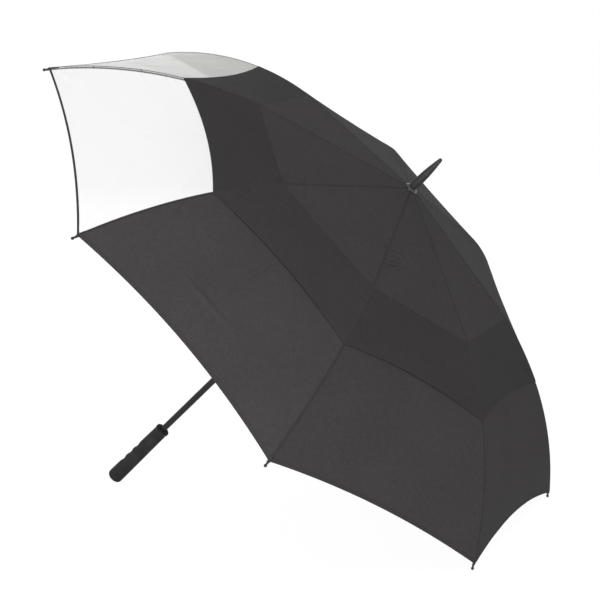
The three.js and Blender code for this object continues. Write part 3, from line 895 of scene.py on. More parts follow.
@dataclass(frozen=True)
class FoamFinish:
    """Matte closed-cell foam."""

    name: str = "grip_foam"
    colour: Colour = (0.0245, 0.0228, 0.0236)
    pit_tones: Point = (0.75, 1.15)
    worn: Colour = (0.052, 0.05, 0.05)
    wear: float = 0.4
    roughness: Point = (0.82, 0.94)
    sheen: float = 0.05
    specular: float = 0.15
    cell: float = 0.7 * MM
    grain: float = 1.6 * MM
    relief: float = 0.09 * MM

    def material(self, shop: Workshop) -> Material:
        """Builds the material.

        Args:
            shop: The shader groups.

        Returns:
            The material.
        """
        made, nodes, shader = shop.start(self.name)
        place = nodes.add("ShaderNodeTexCoord").outputs["Object"]
        cells = nodes.feed(nodes.add("ShaderNodeTexVoronoi"), Vector=place, Scale=1 / self.cell)
        grain = shop.place(nodes, shop.grain, Vector=place, Size=self.grain)
        marks = shop.place(nodes, shop.marks, Vector=place, Amount=1.0)
        pits = nodes.spread(cells.outputs["Distance"], 0.1, 0.6, 0.0, 1.0)
        tone = nodes.blend(pits, *(paint(self.colour, share) for share in self.pit_tones))
        colour = nodes.blend(nodes.math("MULTIPLY", marks.outputs[0], self.wear), tone, paint(self.worn))
        rough = nodes.spread(grain.outputs["Shade"], 0.3, 0.7, *self.roughness)
        nodes.feed(shader, Base_Color=colour, Roughness=rough, Sheen_Weight=self.sheen,
                   Specular_IOR_Level=self.specular)
        height = nodes.math("ADD", nodes.math("MULTIPLY", pits, -1.0), grain.outputs["Height"])
        shop.bump(nodes, shader, height, self.relief, 0.8)
        return made


@dataclass(frozen=True)
class MetalFinish:
    """Drawn or plated metal."""

    name: str
    colour: Colour
    roughness: float
    rubbed: float = 0.15
    rubbed_tone: float = 0.85
    drawn_scale: Triple = (300, 300, 4000)
    drawn_rough: float = 0.06
    relief: float = 0.01 * MM

    def material(self, shop: Workshop) -> Material:
        """Builds the material.

        Args:
            shop: The shader groups.

        Returns:
            The material.
        """
        made, nodes, shader = shop.start(self.name)
        place = nodes.add("ShaderNodeTexCoord").outputs["Object"]
        marks = shop.place(nodes, shop.marks, Vector=place, Amount=1.0)
        drawn = nodes.noise(nodes.stretch(place, self.drawn_scale), 1.0, detail=2.0)
        worn = nodes.spread(marks.outputs[0], 0.0, 1.0, self.roughness, self.roughness + self.rubbed)
        rough = nodes.math("ADD", worn, nodes.math("MULTIPLY", drawn, self.drawn_rough))
        colour = nodes.blend(marks.outputs[0], paint(self.colour), paint(self.colour, self.rubbed_tone))
        nodes.feed(shader, Base_Color=colour, Roughness=rough, Metallic=1.0)
        shop.bump(nodes, shader, drawn, self.relief, 0.4)
        return made


class Palette:
    """One material for each slot."""

    def __init__(self) -> None:
        """Builds all the materials."""
        shop = Workshop()
        finishes = {
            Slot.CLOTH: ClothFinish(),
            Slot.FILM: FilmFinish(),
            Slot.FIBREGLASS: RodFinish("black_fibreglass", (0.022, 0.022, 0.022), 0.34, 1.0),
            Slot.MOULDED: MouldedFinish(),
            Slot.COAT: RodFinish("satin_shaft_coat", (0.0105, 0.0102, 0.0102), 0.45, 0.15, specular=0.3),
            Slot.FOAM: FoamFinish(),
            Slot.STEEL: MetalFinish("spring_steel", (0.56, 0.56, 0.55), 0.26),
            # Painted reflection: the plated cap's colour is drawn dark, standing in for the dark canopy that
            # its chrome reflects.
            Slot.CHROME: MetalFinish("chrome_with_painted_reflection", (0.07, 0.07, 0.072), 0.14),
        }
        self.made = {slot: finish.material(shop) for slot, finish in finishes.items()}

    def __getitem__(self, slot: Slot) -> Material:
        """The material of a slot."""
        return self.made[slot]


def mount(piece: Piece, body: str, slot: Slot, *nodes: str) -> Piece:
    """Puts a finished piece on its body.

    Args:
        piece: The piece, in place.
        body: The body it rides on.
        slot: Not used.
        nodes: The frame's nodes that it stands for.

    Returns:
        The same piece.
    """
    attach(piece, body)
    if nodes:
        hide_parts(*nodes)
    LOG.info("%s: %d faces on %s", piece.name, len(piece.data.polygons), body)
    return piece


# ---------------- canopy


@dataclass(frozen=True)
class Profile:
    """The canopy's outer face above a rib: straight down from the crown, then bent in an arc."""

    hole: float = 8.5 * MM
    seam: float = 0.3165
    vent: float = 0.4535
    hem: float = 0.650
    crown_slope: float = radians(13.1)
    bend_start: float = radians(17.1)
    bend_end: float = radians(49.3)

    @property
    def bend_radius(self) -> float:
        """Radius of the bent part."""
        return (self.hem - self.seam) / (sin(self.bend_end) - sin(self.bend_start))

    def slope(self, radius: Array) -> Array:
        """Slope below the level at each radius."""
        bent = np.arcsin(sin(self.bend_start) + np.maximum(radius - self.seam, 0) / self.bend_radius)
        return np.where(radius < self.seam, self.crown_slope, bent)

    def under(self, radius: Array, depth: float) -> tuple[Array, Array]:
        """Points below the outer face.

        Args:
            radius: Radius of each point of the outer face.
            depth: How far below it the points lie, square to it.

        Returns:
            Their radii and their heights.
        """
        slope = self.slope(radius)
        straight = np.minimum(radius, self.seam) * tan(self.crown_slope)
        bent = np.where(radius < self.seam, 0, self.bend_radius * (cos(self.bend_start) - np.cos(slope)))
        return radius - depth * np.sin(slope), -straight - bent - depth * np.cos(slope)

    def along(self, radius: Array) -> Array:
        """Distance along the cloth from the axis."""
        bent = np.where(radius < self.seam, 0, self.bend_radius * (self.slope(radius) - self.bend_start))
        return np.minimum(radius, self.seam) / cos(self.crown_slope) + bent

    def radius_at(self, along: Array) -> Array:
        """The inverse of along().

        Args:
            along: Distance of each point along the cloth from the axis.

        Returns:
            The radius of each point.
        """
        first = self.seam / cos(self.crown_slope)
        turn = np.maximum(along - first, 0) / self.bend_radius
        bent = np.sin(self.bend_start + turn) - sin(self.bend_start)
        return np.where(along < first, along * cos(self.crown_slope), self.seam + self.bend_radius * bent)


@dataclass(frozen=True)
class Crease:
    """A faint line that packing has pressed into a panel."""

    panel: int
    start: Point
    end: Point
    height: float = 0.6 * MM
    width: float = 4 * MM


class Side(Enum):
    """Which half of a panel: next to the rib of its own number, or next to the following rib."""

    FIRST = -1
    SECOND = 1


@dataclass(frozen=True)
class Gather:
    """A stretch of a rib's seam where the sewing has gathered the upper cloth more than elsewhere."""

    panel: int
    side: Side
    radius: float
    spread: float
    height: float
    reach: float


@dataclass(frozen=True)
class Ripples:
    """How the stretched cloth differs from straight lines between the ribs."""

    seed: int = 8
    phases: int = 12
    lower_sag: float = 4.6 * MM
    lower_sag_fade: float = 0.7
    hem_sag: float = 2.0 * MM
    upper_sag: float = 3.0 * MM
    upper_sag_start: float = 0.06
    upper_sag_growth: float = 1.5
    pucker: float = 0.75 * MM
    pucker_reach: float = 9 * MM
    pucker_slant: float = 0.3
    pucker_lengths: Series = (0.0085, 0.0125, 0.021)
    pucker_changes: Series = (0.11, 0.17)
    joint_pucker: float = 0.5 * MM
    joint_place: float = 0.03
    joint_spread: float = 0.06
    gathers: tuple[Gather, ...] = (
        Gather(3, Side.FIRST, 0.225, 0.045, 2.4 * MM, 24 * MM),
        Gather(2, Side.SECOND, 0.20, 0.05, 1.4 * MM, 14 * MM),
        Gather(2, Side.FIRST, 0.36, 0.06, 1.4 * MM, 12 * MM),
        Gather(1, Side.SECOND, 0.33, 0.05, 1.3 * MM, 12 * MM),
        Gather(4, Side.FIRST, 0.12, 0.05, 1.4 * MM, 14 * MM),
        Gather(4, Side.SECOND, 0.41, 0.04, 1.8 * MM, 22 * MM),
    )
    gather_slant: float = 0.35
    gather_lengths: Series = (0.0112, 0.0142)
    edge_fold: float = 0.45 * MM
    edge_fold_reach: float = 16 * MM
    edge_fold_lengths: Series = (0.013, 0.019, 0.031)
    drift: float = 0.5 * MM
    drift_rise: float = 0.03
    drift_along: Series = (0.13, 0.09)
    drift_across: Series = (0.16, 0.11)
    corner_fold: float = 0.5 * MM
    corner_reach: float = 18 * MM
    corner_turns: float = 9
    creases: tuple[Crease, ...] = (
        Crease(2, (-0.0135, 0.640), (-0.0065, 0.430), 1.3 * MM, 3.5 * MM),
        Crease(2, (-0.085, 0.578), (0.030, 0.578), 2.3 * MM),
        Crease(3, (-0.14, 0.50), (0.02, 0.47), 0.5 * MM),
        Crease(4, (0.02, 0.62), (0.01, 0.47), 0.5 * MM),
        Crease(5, (0.03, 0.47), (0.07, 0.63), 0.5 * MM),
        Crease(6, (-0.10, 0.56), (0.09, 0.57)),
        Crease(7, (0.01, 0.46), (0.0, 0.63)),
    )
    crease_fade: float = 0.03


@dataclass
class Layer:
    """One layer of the canopy, or the part of it between two lines."""

    name: str
    depth: float
    thick: float
    row_pitch: float = 3.4 * MM
    lower: bool = False

    def inner(self, profile: Profile, share: Array) -> Array:
        """Radius of its inner edge where share is 0 in the middle of a panel and 1 at a rib."""
        return np.full_like(share, profile.seam if self.lower else profile.hole)

    def outer(self, profile: Profile, share: Array, panel: int) -> Array:
        """Radius of its outer edge in a panel."""
        raise NotImplementedError


def bend_line(profile: Profile, share: Array) -> Array:
    """Radius of the line square to a rib above its joint, where share is 1 at the rib."""
    return profile.seam / (1 - sin(HALF) ** 2 * (1 - share))


@dataclass
class LowerLayer(Layer):
    """The lower canopy, from under the vent to the hem, which curves in between the tips."""

    lower: bool = True
    scallops: dict[int, float] = field(default_factory=lambda: {
        1: 10 * MM, 2: 14 * MM, 3: 10 * MM, 4: 19 * MM, 5: 15 * MM, 6: 15 * MM, 7: 15 * MM, 8: 15 * MM})

    def outer(self, profile: Profile, share: Array, panel: int) -> Array:
        """Radius of the hem."""
        return profile.hem - self.scallops[panel] * (1 - share ** 2)


@dataclass
class CrownLayer(Layer):
    """The upper canopy, or a ring of it, from the crown to the line above the rib joints."""

    start: float | None = None
    end: float | None = None

    def inner(self, profile: Profile, share: Array) -> Array:
        """Radius of its inner edge, the hole at the crown if none is given."""
        return np.full_like(share, self.start or profile.hole)

    def outer(self, profile: Profile, share: Array, panel: int) -> Array:
        """Radius of its outer edge, the bend line if none is given."""
        return np.full_like(share, self.end) if self.end else bend_line(profile, share)


@dataclass
class SkirtLayer(Layer):
    """The upper canopy from the line above the rib joints to the vent's free edge."""

    scallop: float = 15 * MM

    def inner(self, profile: Profile, share: Array) -> Array:
        """Radius of the bend line."""
        return bend_line(profile, share)

    def outer(self, profile: Profile, share: Array, panel: int) -> Array:
        """Radius of the vent's edge."""
        return profile.vent - self.scallop * (1 - share ** 2)


@dataclass(frozen=True)
class ClothSizes:
    """Sizes of the cloth's layers, seams and tapes, and of the grids that they are drawn on."""

    cloth_thick: float = 0.5 * MM
    film_thick: float = 0.2 * MM
    lower_depth: float = 0.9 * MM
    collar_radius: float = 0.023
    yoke_radius: float = 0.085
    near_rib: Series = (0, 1.1 * MM, 2.2 * MM, 3.0 * MM, 4.5 * MM)
    near_until: float = 15 * MM
    far_columns: int = 17
    far_growth: float = 1.25
    fine_half: tuple[int, Side] = (2, Side.FIRST)
    fine_shares: Series = (0.064, 0.058, 0.052, 0.046, 0.040, 0.034, 0.027, 0.018)
    band_rows: int = 5
    seam_height: float = 0.22 * MM
    seam_half: float = 3.0 * MM
    seam_edge: float = 0.8 * MM
    seam_start: float = 2 * MM
    seam_rise: float = 4 * MM
    binding_width: float = 4.2 * MM
    binding_thick: float = 0.35 * MM
    tapes: tuple[tuple[int, float], ...] = ((8, 1.4 * MM), (1, 1.2 * MM), (2, 1.4 * MM))
    tape_section: Series = (-1, -0.6, 0, 0.6, 1)
    tape_rows: int = 90
    tape_rise: float = 0.62 * MM
    tape_under_vent: float = 4 * MM
    tape_from_hem: float = 1 * MM
    lower_keep: float = 0.05


class Maker:
    """Something that makes pieces on the frame."""

    def __init__(self, umbrella: Umbrella, palette: Palette) -> None:
        """Keeps the frame and the materials."""
        self.umbrella = umbrella
        self.palette = palette


class Canopy(Maker):
    """Both canopies, each made as one continuous surface and divided midway between the ribs.

    A piece of cloth belongs to one rib, because the ribs fold one by one: it rides on its rib's body.
    """

    profile = Profile()
    ripples = Ripples()
    size = ClothSizes()
    film_panels = (1, 8)
    typical_panel = 5

    def __init__(self, umbrella: Umbrella, palette: Palette) -> None:
        """Sets out the layers.

        Args:
            umbrella: The frame.
            palette: The materials.
        """
        super().__init__(umbrella, palette)
        thick, collar, yoke = self.size.cloth_thick, self.size.collar_radius, self.size.yoke_radius
        self.lower = LowerLayer("lower", self.size.lower_depth, thick)
        self.collar = CrownLayer("upper_collar", 0.0, thick, end=collar)
        self.yoke = CrownLayer("upper_yoke", 0.0, thick, start=collar, end=yoke)
        self.crown = CrownLayer("upper_crown", 0.0, thick, start=yoke)
        self.skirt = SkirtLayer("vent_skirt", 0.0, thick)
        chance = np.random.default_rng(self.ripples.seed)
        self.phases = chance.uniform(0, 2 * pi, (len(RIBS) + 1, 2, self.ripples.phases))

    def wave(self, place: Array, panel: int, side: Side, lengths: Sequence[float]) -> Array:
        """A smooth uneven wave along a line, with a run of its own for each half panel.

        Args:
            place: Where each point is along the line.
            panel: The panel.
            side: Its half.
            lengths: The lengths of the plain waves that it is made of.

        Returns:
            Its height at each point, from -1 to 1.
        """
        phases = self.phases[panel, (side.value + 1) // 2]
        waves = [np.sin(2 * pi * place / length + phases[i]) for i, length in enumerate(lengths)]
        return sum(waves) / len(waves)

    def lift(self, layer: Layer, panel: int, side: Side, radius: Array, share: Array,
             away: Array, edge: Array) -> Array:
        """How far the cloth stands out from the straight line between two ribs.

        Args:
            layer: The layer.
            panel: The panel.
            side: Its half.
            radius: Radius of each point.
            share: 1 at the rib and 0 in the middle of the panel.
            away: Distance from the rib.
            edge: Distance along the cloth from the layer's free outer edge.

        Returns:
            The height of each point.
        """
        ripples, profile = self.ripples, self.profile
        bulge = 1 - share ** 2
        along = profile.along(radius)
        if layer.lower:
            start, end = profile.along(np.array([profile.seam, profile.hem]))
            run = (along - start) / (end - start)
            sag = ripples.lower_sag * (1 - run) ** ripples.lower_sag_fade + ripples.hem_sag * run
        else:
            run = np.clip((radius - ripples.upper_sag_start) / (profile.vent - ripples.upper_sag_start), 0, 1)
            sag = ripples.upper_sag * run ** ripples.upper_sag_growth
        height = -sag * bulge
        # The stitching gathers the cloth into short ridges square to the rib, most of all over the rib joint.
        rise = away / ripples.pucker_reach
        joint = np.exp(-(((radius - profile.seam + ripples.joint_place) / ripples.joint_spread) ** 2))
        uneven = 0.6 + 0.4 * self.wave(along, panel, side, ripples.pucker_changes)
        size = ripples.pucker * uneven + ripples.joint_pucker * joint
        ridges = self.wave(along + ripples.pucker_slant * away, panel, side, ripples.pucker_lengths)
        height += size * share * rise * np.exp(1 - rise) * ridges
        for gather in ripples.gathers:
            if not layer.lower and (gather.panel, gather.side) == (panel, side):
                rise = away / gather.reach
                size = gather.height * np.exp(-(((radius - gather.radius) / gather.spread) ** 2))
                ridges = self.wave(along + ripples.gather_slant * away, panel, side, ripples.gather_lengths)
                height += size * share * rise * np.exp(1 - rise) * ridges
        # Short folds that stand square to the free edges, where the hem is sewn tighter than the cloth.
        fold = np.exp(-edge / ripples.edge_fold_reach)
        folds = self.wave(away, panel, side, ripples.edge_fold_lengths)
        height += ripples.edge_fold * fold * bulge * share * folds
        # Long soft waves of the stretched cloth.
        wide = (self.wave(along, panel, Side.FIRST, ripples.drift_along)
                + self.wave(side.value * away + 2 * along, panel, Side.FIRST, ripples.drift_across))
        grown = 1 - np.exp(-away / ripples.drift_rise)
        height += ripples.drift * bulge * np.where(away > 0, wide, 0) * grown * share
        # Folds that run out of the corners of the hem and of the vent.
        turn = np.arctan2(away, edge + 1e-6)
        fold = np.hypot(away, edge) / ripples.corner_reach
        height += (ripples.corner_fold * fold * np.exp(1 - fold)
                   * np.sin(ripples.corner_turns * turn + panel) * np.sin(2 * turn))
        for crease in ripples.creases:
            if layer.lower and crease.panel == panel:
                height += self.crease(crease, side.value * (radius * sin(HALF) * share), along)
        return height

    def overlap(self, radius: Array, share: Array) -> Array:
        """How far inside the ring where both canopies lie on each other a point is, along the cloth.

        Args:
            radius: Radius of each point.
            share: 1 at the rib and 0 in the middle of the panel.

        Returns:
            The distance from the ring's nearer edge, less than 0 outside it.
        """
        along = self.profile.along(radius)
        begins = float(self.profile.along(np.array(self.profile.seam)))
        ends = self.profile.along(self.skirt.outer(self.profile, share, self.typical_panel))
        return np.minimum(along - begins, ends - along)

    def crease(self, crease: Crease, across: Array, along: Array) -> Array:
        """The height of one crease.

        Args:
            crease: The crease.
            across: Distance of each point from the panel's middle line.
            along: Its distance from the axis along the cloth.

        Returns:
            The height of each point.
        """
        start = np.array([crease.start[0], float(self.profile.along(np.array(crease.start[1])))])
        way = np.array([crease.end[0], float(self.profile.along(np.array(crease.end[1])))]) - start
        length = np.linalg.norm(way)
        way = way / length
        done = (across - start[0]) * way[0] + (along - start[1]) * way[1]
        off = (across - start[0]) * way[1] - (along - start[1]) * way[0]
        fade = np.clip(np.minimum(done, length - done) / self.ripples.crease_fade, 0, 1)
        return crease.height * fade * np.exp(-((off / crease.width) ** 2))

    def half(self, layer: Layer, panel: int, side: Side, raised: float = 0.0,
             band: float | None = None) -> Grid:
        """One half of a panel, as a grid of points.

        Args:
            layer: The layer.
            panel: The panel.
            side: Its half.
            raised: How far the grid lies above the cloth.
            band: If given, only this much of the layer, next to its outer edge.

        Returns:
            The points, the place in the cut cloth (across, along) and the place in the canopy (distance
            inside the overlap, distance from the free edge), each as rows from the inner edge and columns
            from the rib.
        """
        profile, size = self.profile, self.size
        ends = profile.along(np.array([layer.inner(profile, np.ones(1))[0],
                                       layer.outer(profile, np.ones(1), panel)[0]]))
        rows = size.band_rows if band else int(np.ceil((ends[1] - ends[0]) / layer.row_pitch)) + 1
        nominal = profile.radius_at(np.linspace(ends[0], ends[1], rows))
        done = ((nominal - nominal[0]) / (nominal[-1] - nominal[0]))[:, None]
        wide = profile.under(nominal, layer.depth)[0] * sin(HALF)
        near = np.array(size.near_rib)[None, :] * np.minimum(1, wide / size.near_until)[:, None]
        far = (np.arange(1, size.far_columns + 1) / size.far_columns) ** size.far_growth
        away = np.concatenate([near, near[:, -1:] + (wide[:, None] - near[:, -1:]) * far[None, :]], 1)
        if layer.lower and (panel, side) == size.fine_half:
            # Closer columns, where a crease runs along the cloth.
            more = wide[:, None] * (1 - np.array(size.fine_shares))[None, :]
            away = np.sort(np.concatenate([away, more], 1), 1)
        share = 1 - away / wide[:, None]
        outer = layer.outer(profile, share, panel)
        inner = layer.inner(profile, share)
        if band:
            inner = profile.radius_at(profile.along(outer) - band)
            done = np.linspace(0, 1, rows)[:, None]
        radius = inner + done * (outer - inner)
        x, z = profile.under(radius, layer.depth)
        half_width = x * sin(HALF)
        away = half_width * (1 - share)
        edge = profile.along(outer) - profile.along(radius)
        if isinstance(layer, CrownLayer):
            edge = profile.along(np.full_like(radius, profile.vent)) - profile.along(radius)
        slope = np.arctan(np.tan(profile.slope(radius)) / cos(HALF))
        normal = np.stack([np.sin(slope), np.zeros_like(slope), np.cos(slope)], -1)
        points = np.stack([x * cos(HALF), side.value * half_width * share, z], -1)
        points += self.lift(layer, panel, side, radius, share, away, edge)[..., None] * normal
        # A seam lies along each rib as a flat ridge, but not where the other canopy lies on it.
        clear = np.ones_like(radius)
        if layer.lower:
            clear = np.clip((radius - profile.vent - size.seam_start) / size.seam_rise, 0, 1)
        ridge = size.seam_height * np.clip((size.seam_half - away) / size.seam_edge, 0, 1) * clear + raised
        ribward = np.stack([np.sin(slope) * cos(HALF), side.value * np.sin(slope) * sin(HALF),
                            np.cos(slope)], -1)
        points += ridge[..., None] * (ribward if band is None else normal)
        cut = np.stack([-side.value * away, profile.along(radius)], -1)
        place = np.stack([self.overlap(radius, share), edge], -1)
        return spun(points, rib_turn(panel + 0.5)), cut, place

    def shell(self, name: str, grids: Sequence[Grid], thick: float,
              material: Material) -> tuple[Piece, float]:
        """A closed shell under one half panel, or under two that meet at a rib.

        Args:
            name: The piece's name.
            grids: What half() returned, first the half before the rib.
            thick: The cloth's thickness.
            material: The cloth's material.

        Returns:
            The object and the area of its outer face.
        """
        if len(grids) == 2:
            before, after = grids
            top, cut, place = (np.concatenate([a[:, ::-1], b[:, 1:]], 1) for a, b in zip(before, after))
        else:
            top, cut, place = grids[0]
        down = np.cross(np.gradient(top, axis=1), np.gradient(top, axis=0))
        down /= np.linalg.norm(down, axis=2)[..., None]
        down *= -np.sign(down[..., 2].mean())
        rows, columns = top.shape[:2]
        count = rows * columns
        points = np.concatenate([top.reshape(-1, 3), (top + down * thick).reshape(-1, 3)])
        faces = grid_faces(rows, columns)
        faces += [tuple(i + count for i in reversed(face)) for face in grid_faces(rows, columns)]
        last = (rows - 1) * columns
        border = [*range(columns), *range(2 * columns - 1, last, columns), *range(count - 1, last - 1, -1),
                  *range(last - columns, 0, -columns)]
        for a, b in zip(border, border[1:] + border[:1]):
            faces.append((b, a, a + count, b + count))
        crossed = np.cross(top[1:, 1:] - top[:-1, :-1], top[:-1, 1:] - top[1:, :-1])
        spanned = np.linalg.norm(crossed, axis=2).sum() / 2
        if np.cross(top[0, 1] - top[0, 0], top[1, 0] - top[0, 0])[2] < 0:
            faces = [face[::-1] for face in faces]
        made = Solid(points, faces).moved(self.umbrella.matrix).shown(name, material)
        corners = np.empty(len(made.data.loops), int)
        made.data.loops.foreach_get("vertex_index", corners)
        for label, values in (("cut", cut), ("place", place)):
            layer = made.data.uv_layers.new(name=label)
            both = np.concatenate([values.reshape(-1, 2)] * 2)
            layer.uv.foreach_set("vector", both[corners].astype(np.float32).ravel())
        return made, float(spanned)

    def hang(self, piece: Piece, n: int, body: str, slot: Slot, *nodes: str,
             keep: float = ClothSizes.lower_keep) -> Piece:
        """Puts cloth, with a mesh of its own, on a body.

        Args:
            piece: The cloth.
            n: The rib.
            body: The body it rides on, without the rib's number.
            slot: The material slot of its finish.
            nodes: The frame's nodes that it stands for.
            keep: Not used.

        Returns:
            The same piece.
        """
        self.umbrella.across(n)
        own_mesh(piece)
        return mount(piece, f"{body}_{n}", slot, *nodes)

    def declare(self, piece: Piece, layer: Layer, halves: int, area: float, rib: str,
                trims: Sequence[Piece] = ()) -> None:
        """Says how large the flat cloth of a piece is.

        Args:
            piece: Not used.
            layer: The layer that it is part of.
            halves: Not used.
            area: Not used.
            rib: Not used.
            trims: Not used.
        """
        outer = layer.outer(self.profile, np.array([0.0, 1.0]), self.typical_panel)
        inner = layer.inner(self.profile, np.array([0.0, 1.0]))
        long = float(self.profile.along(outer)[1] - self.profile.along(inner)[1])

    def before(self, n: int) -> int:
        """The panel before rib n."""
        return n - 1 or len(RIBS)

    def stuff(self, panel: int) -> Stuff:
        """What a lower panel is cut from."""
        return Stuff.FILM if panel in self.film_panels else Stuff.CLOTH

    def node(self, panel: int) -> str:
        """The frame's node of a lower panel."""
        return f"window_panel_{panel}" if self.stuff(panel) is Stuff.FILM else f"lower_panel_{panel}"

    def upper_pieces(self, n: int) -> None:
        """Makes the pieces of the upper canopy that belong to a rib.

        Args:
            n: The rib.
        """
        cloth = self.palette[Slot.CLOTH]
        trims: list[Piece] = []
        # Each ring rides on its rib's body, the collar's mesh laid in place first; the share listed with each
        # ring is not used.
        for layer, side, keep in ((self.collar, "inner", None), (self.yoke, "inner", 0.42),
                                  (self.crown, "inner", 0.19), (self.skirt, "outer", 0.07)):
            grids = [self.half(layer, self.before(n), Side.SECOND), self.half(layer, n, Side.FIRST)]
            piece, area = self.shell(f"{layer.name}_{n}", grids, layer.thick, cloth)
            body = f"{side}_rib_body_{n}"
            if layer in (self.crown, self.skirt):
                self.declare(piece, layer, 2, area, f"{side}_rib_{n}", trims)
                trims = []
            else:
                trims.append(piece)
            if keep is None:
                ends = (HINGE_RADIUS, self.size.collar_radius)
                start, end = (self.umbrella.rib(n) @ Vector((at, 0, 0)) for at in ends)
                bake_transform(piece)
                mount(piece, body, Slot.CLOTH, f"upper_panel_{n}")
            else:
                self.hang(piece, n, f"{side}_rib_body", Slot.CLOTH, f"upper_panel_{n}", keep=keep)

    def lower_pieces(self, n: int) -> None:
        """Makes the lower canopy's pieces that belong to a rib: one, or one each of cloth and film.

        Args:
            n: The rib.
        """
        halves = [(self.before(n), Side.SECOND), (n, Side.FIRST)]
        kinds = [self.stuff(panel) for panel, _ in halves]
        groups = [halves] if kinds[0] is kinds[1] else [[half] for half in halves]
        for group in groups:
            kind = self.stuff(group[0][0])
            slot = Slot.FILM if kind is Stuff.FILM else Slot.CLOTH
            name = f"window_film_{n}" if kind is Stuff.FILM else f"lower_cloth_{n}"
            grids = [self.half(self.lower, panel, side) for panel, side in group]
            thick = self.size.film_thick if kind is Stuff.FILM else self.lower.thick
            piece, area = self.shell(name, grids, thick, self.palette[slot])
            trims = [self.binding(n, group)] if kind is Stuff.FILM else []
            self.declare(piece, self.lower, len(group), area, f"outer_rib_{n}", trims)
            self.hang(piece, n, "outer_rib_body", slot, *sorted({self.node(panel) for panel, _ in group}))

    def binding(self, n: int, group: Sequence[tuple[int, Side]]) -> Piece:
        """The dark tape that binds the film's hem on both faces.

        Args:
            n: The rib.
            group: The half panels of the film.

        Returns:
            The tape, on its body.
        """
        tape, width = self.size.binding_thick, self.size.binding_width
        grids = [self.half(self.lower, panel, side, raised=tape, band=width) for panel, side in group]
        thick = self.lower.thick + 2 * tape
        piece, _ = self.shell(f"hem_binding_{n}", grids, thick, self.palette[Slot.CLOTH])
        return self.hang(piece, n, "outer_rib_body", Slot.CLOTH)

    def seam_tape(self, n: int, half_width: float) -> None:
        """The tape over the seam on a rib beside a window.

        Args:
            n: The rib.
            half_width: Half of the tape's width.
        """
        profile, size = self.profile, self.size
        vent, hem = (float(profile.along(np.array(at))) for at in (profile.vent, profile.hem))
        radius = profile.radius_at(np.linspace(vent - size.tape_under_vent, hem - size.tape_from_hem,
                                               size.tape_rows))
        x, z = profile.under(radius, self.lower.depth - size.tape_rise)
        slope = profile.slope(radius)[:, None]
        offs = np.array(size.tape_section) * half_width
        drop = np.abs(offs) * sin(HALF) * np.sin(slope)
        points = np.stack([x[:, None] - drop * np.sin(slope), np.broadcast_to(offs, drop.shape),
                           z[:, None] - drop * np.cos(slope)], -1)
        cut = np.stack(np.broadcast_arrays(offs[None, :], profile.along(radius)[:, None]), -1)
        # The tape lies outside the overlap and away from the hem.
        place = np.broadcast_to(np.array([-0.1, 0.05]), cut.shape)
        grid = (spun(points, rib_turn(n)), cut, place)
        piece, _ = self.shell(f"seam_tape_{n}", [grid], size.cloth_thick, self.palette[Slot.CLOTH])
        mount(piece, f"outer_rib_body_{n}", Slot.CLOTH)

    def build(self) -> None:
        """Makes every piece of cloth and film."""
        for n in RIBS:
            self.upper_pieces(n)
            self.lower_pieces(n)
        for n, half_width in self.size.tapes:
            self.seam_tape(n, half_width)


# ---------------- ribs and fittings


@dataclass(frozen=True)
class RibSizes:
    """Sizes of a rib's rods and fittings, those of the frame."""

    inner_rod: float = 1.8 * MM
    inner_rod_start: float = 7.5 * MM
    inner_strap: float = 9 * MM
    outer_rod: float = 1.6 * MM
    outer_rod_start: float = 16 * MM
    outer_taper: Point = (1.05, 0.95)
    rod_depth: float = 4.1 * MM
    flex_depth: float = 5 * MM
    stretcher_rod: float = 1.5 * MM
    stretcher_strap: float = 8 * MM
    stretcher_offset: float = 7 * MM
    strap_points: int = 8
    eye: float = 2.3 * MM
    eye_thick: float = 2.4 * MM
    eye_hole: float = 0.75 * MM
    eye_edge: float = 0.3 * MM
    ear: float = 1.3 * MM
    gap: float = 0.3 * MM
    tail: float = 15 * MM
    tail_radii: Point = (2.15 * MM, 2.45 * MM)
    collar: float = 2.1 * MM
    collar_length: float = 2.2 * MM
    slot: float = 8 * MM
    rivet: float = 0.7 * MM
    rivet_head: Outline = ((0, 0.5 * MM), (0.9 * MM, 0.35 * MM), (1.15 * MM, 0))
    tip: float = 8 * MM
    tip_gap: float = 0.5 * MM
    tip_radius: float = 2.5 * MM
    tip_waist: Outline = ((1, 1.6 * MM), (0.82, 2.4 * MM))
    tip_neck: float = 0.74
    ball: float = 2.9 * MM
    pocket_length: float = 13 * MM
    pocket_radius: float = 2.7 * MM
    pocket_swell: Series = (0.55, 0.8, 0.95, 1.0, 1.0, 1.0, 1.0, 0.98, 0.9)
    tie_rise: float = 0.9 * MM
    tie_gap: float = 0.28 * MM
    tie_flat: float = 1.25
    ties: Series = (0.352, 0.440, 0.520, 0.590)
    thread: float = 0.3 * MM


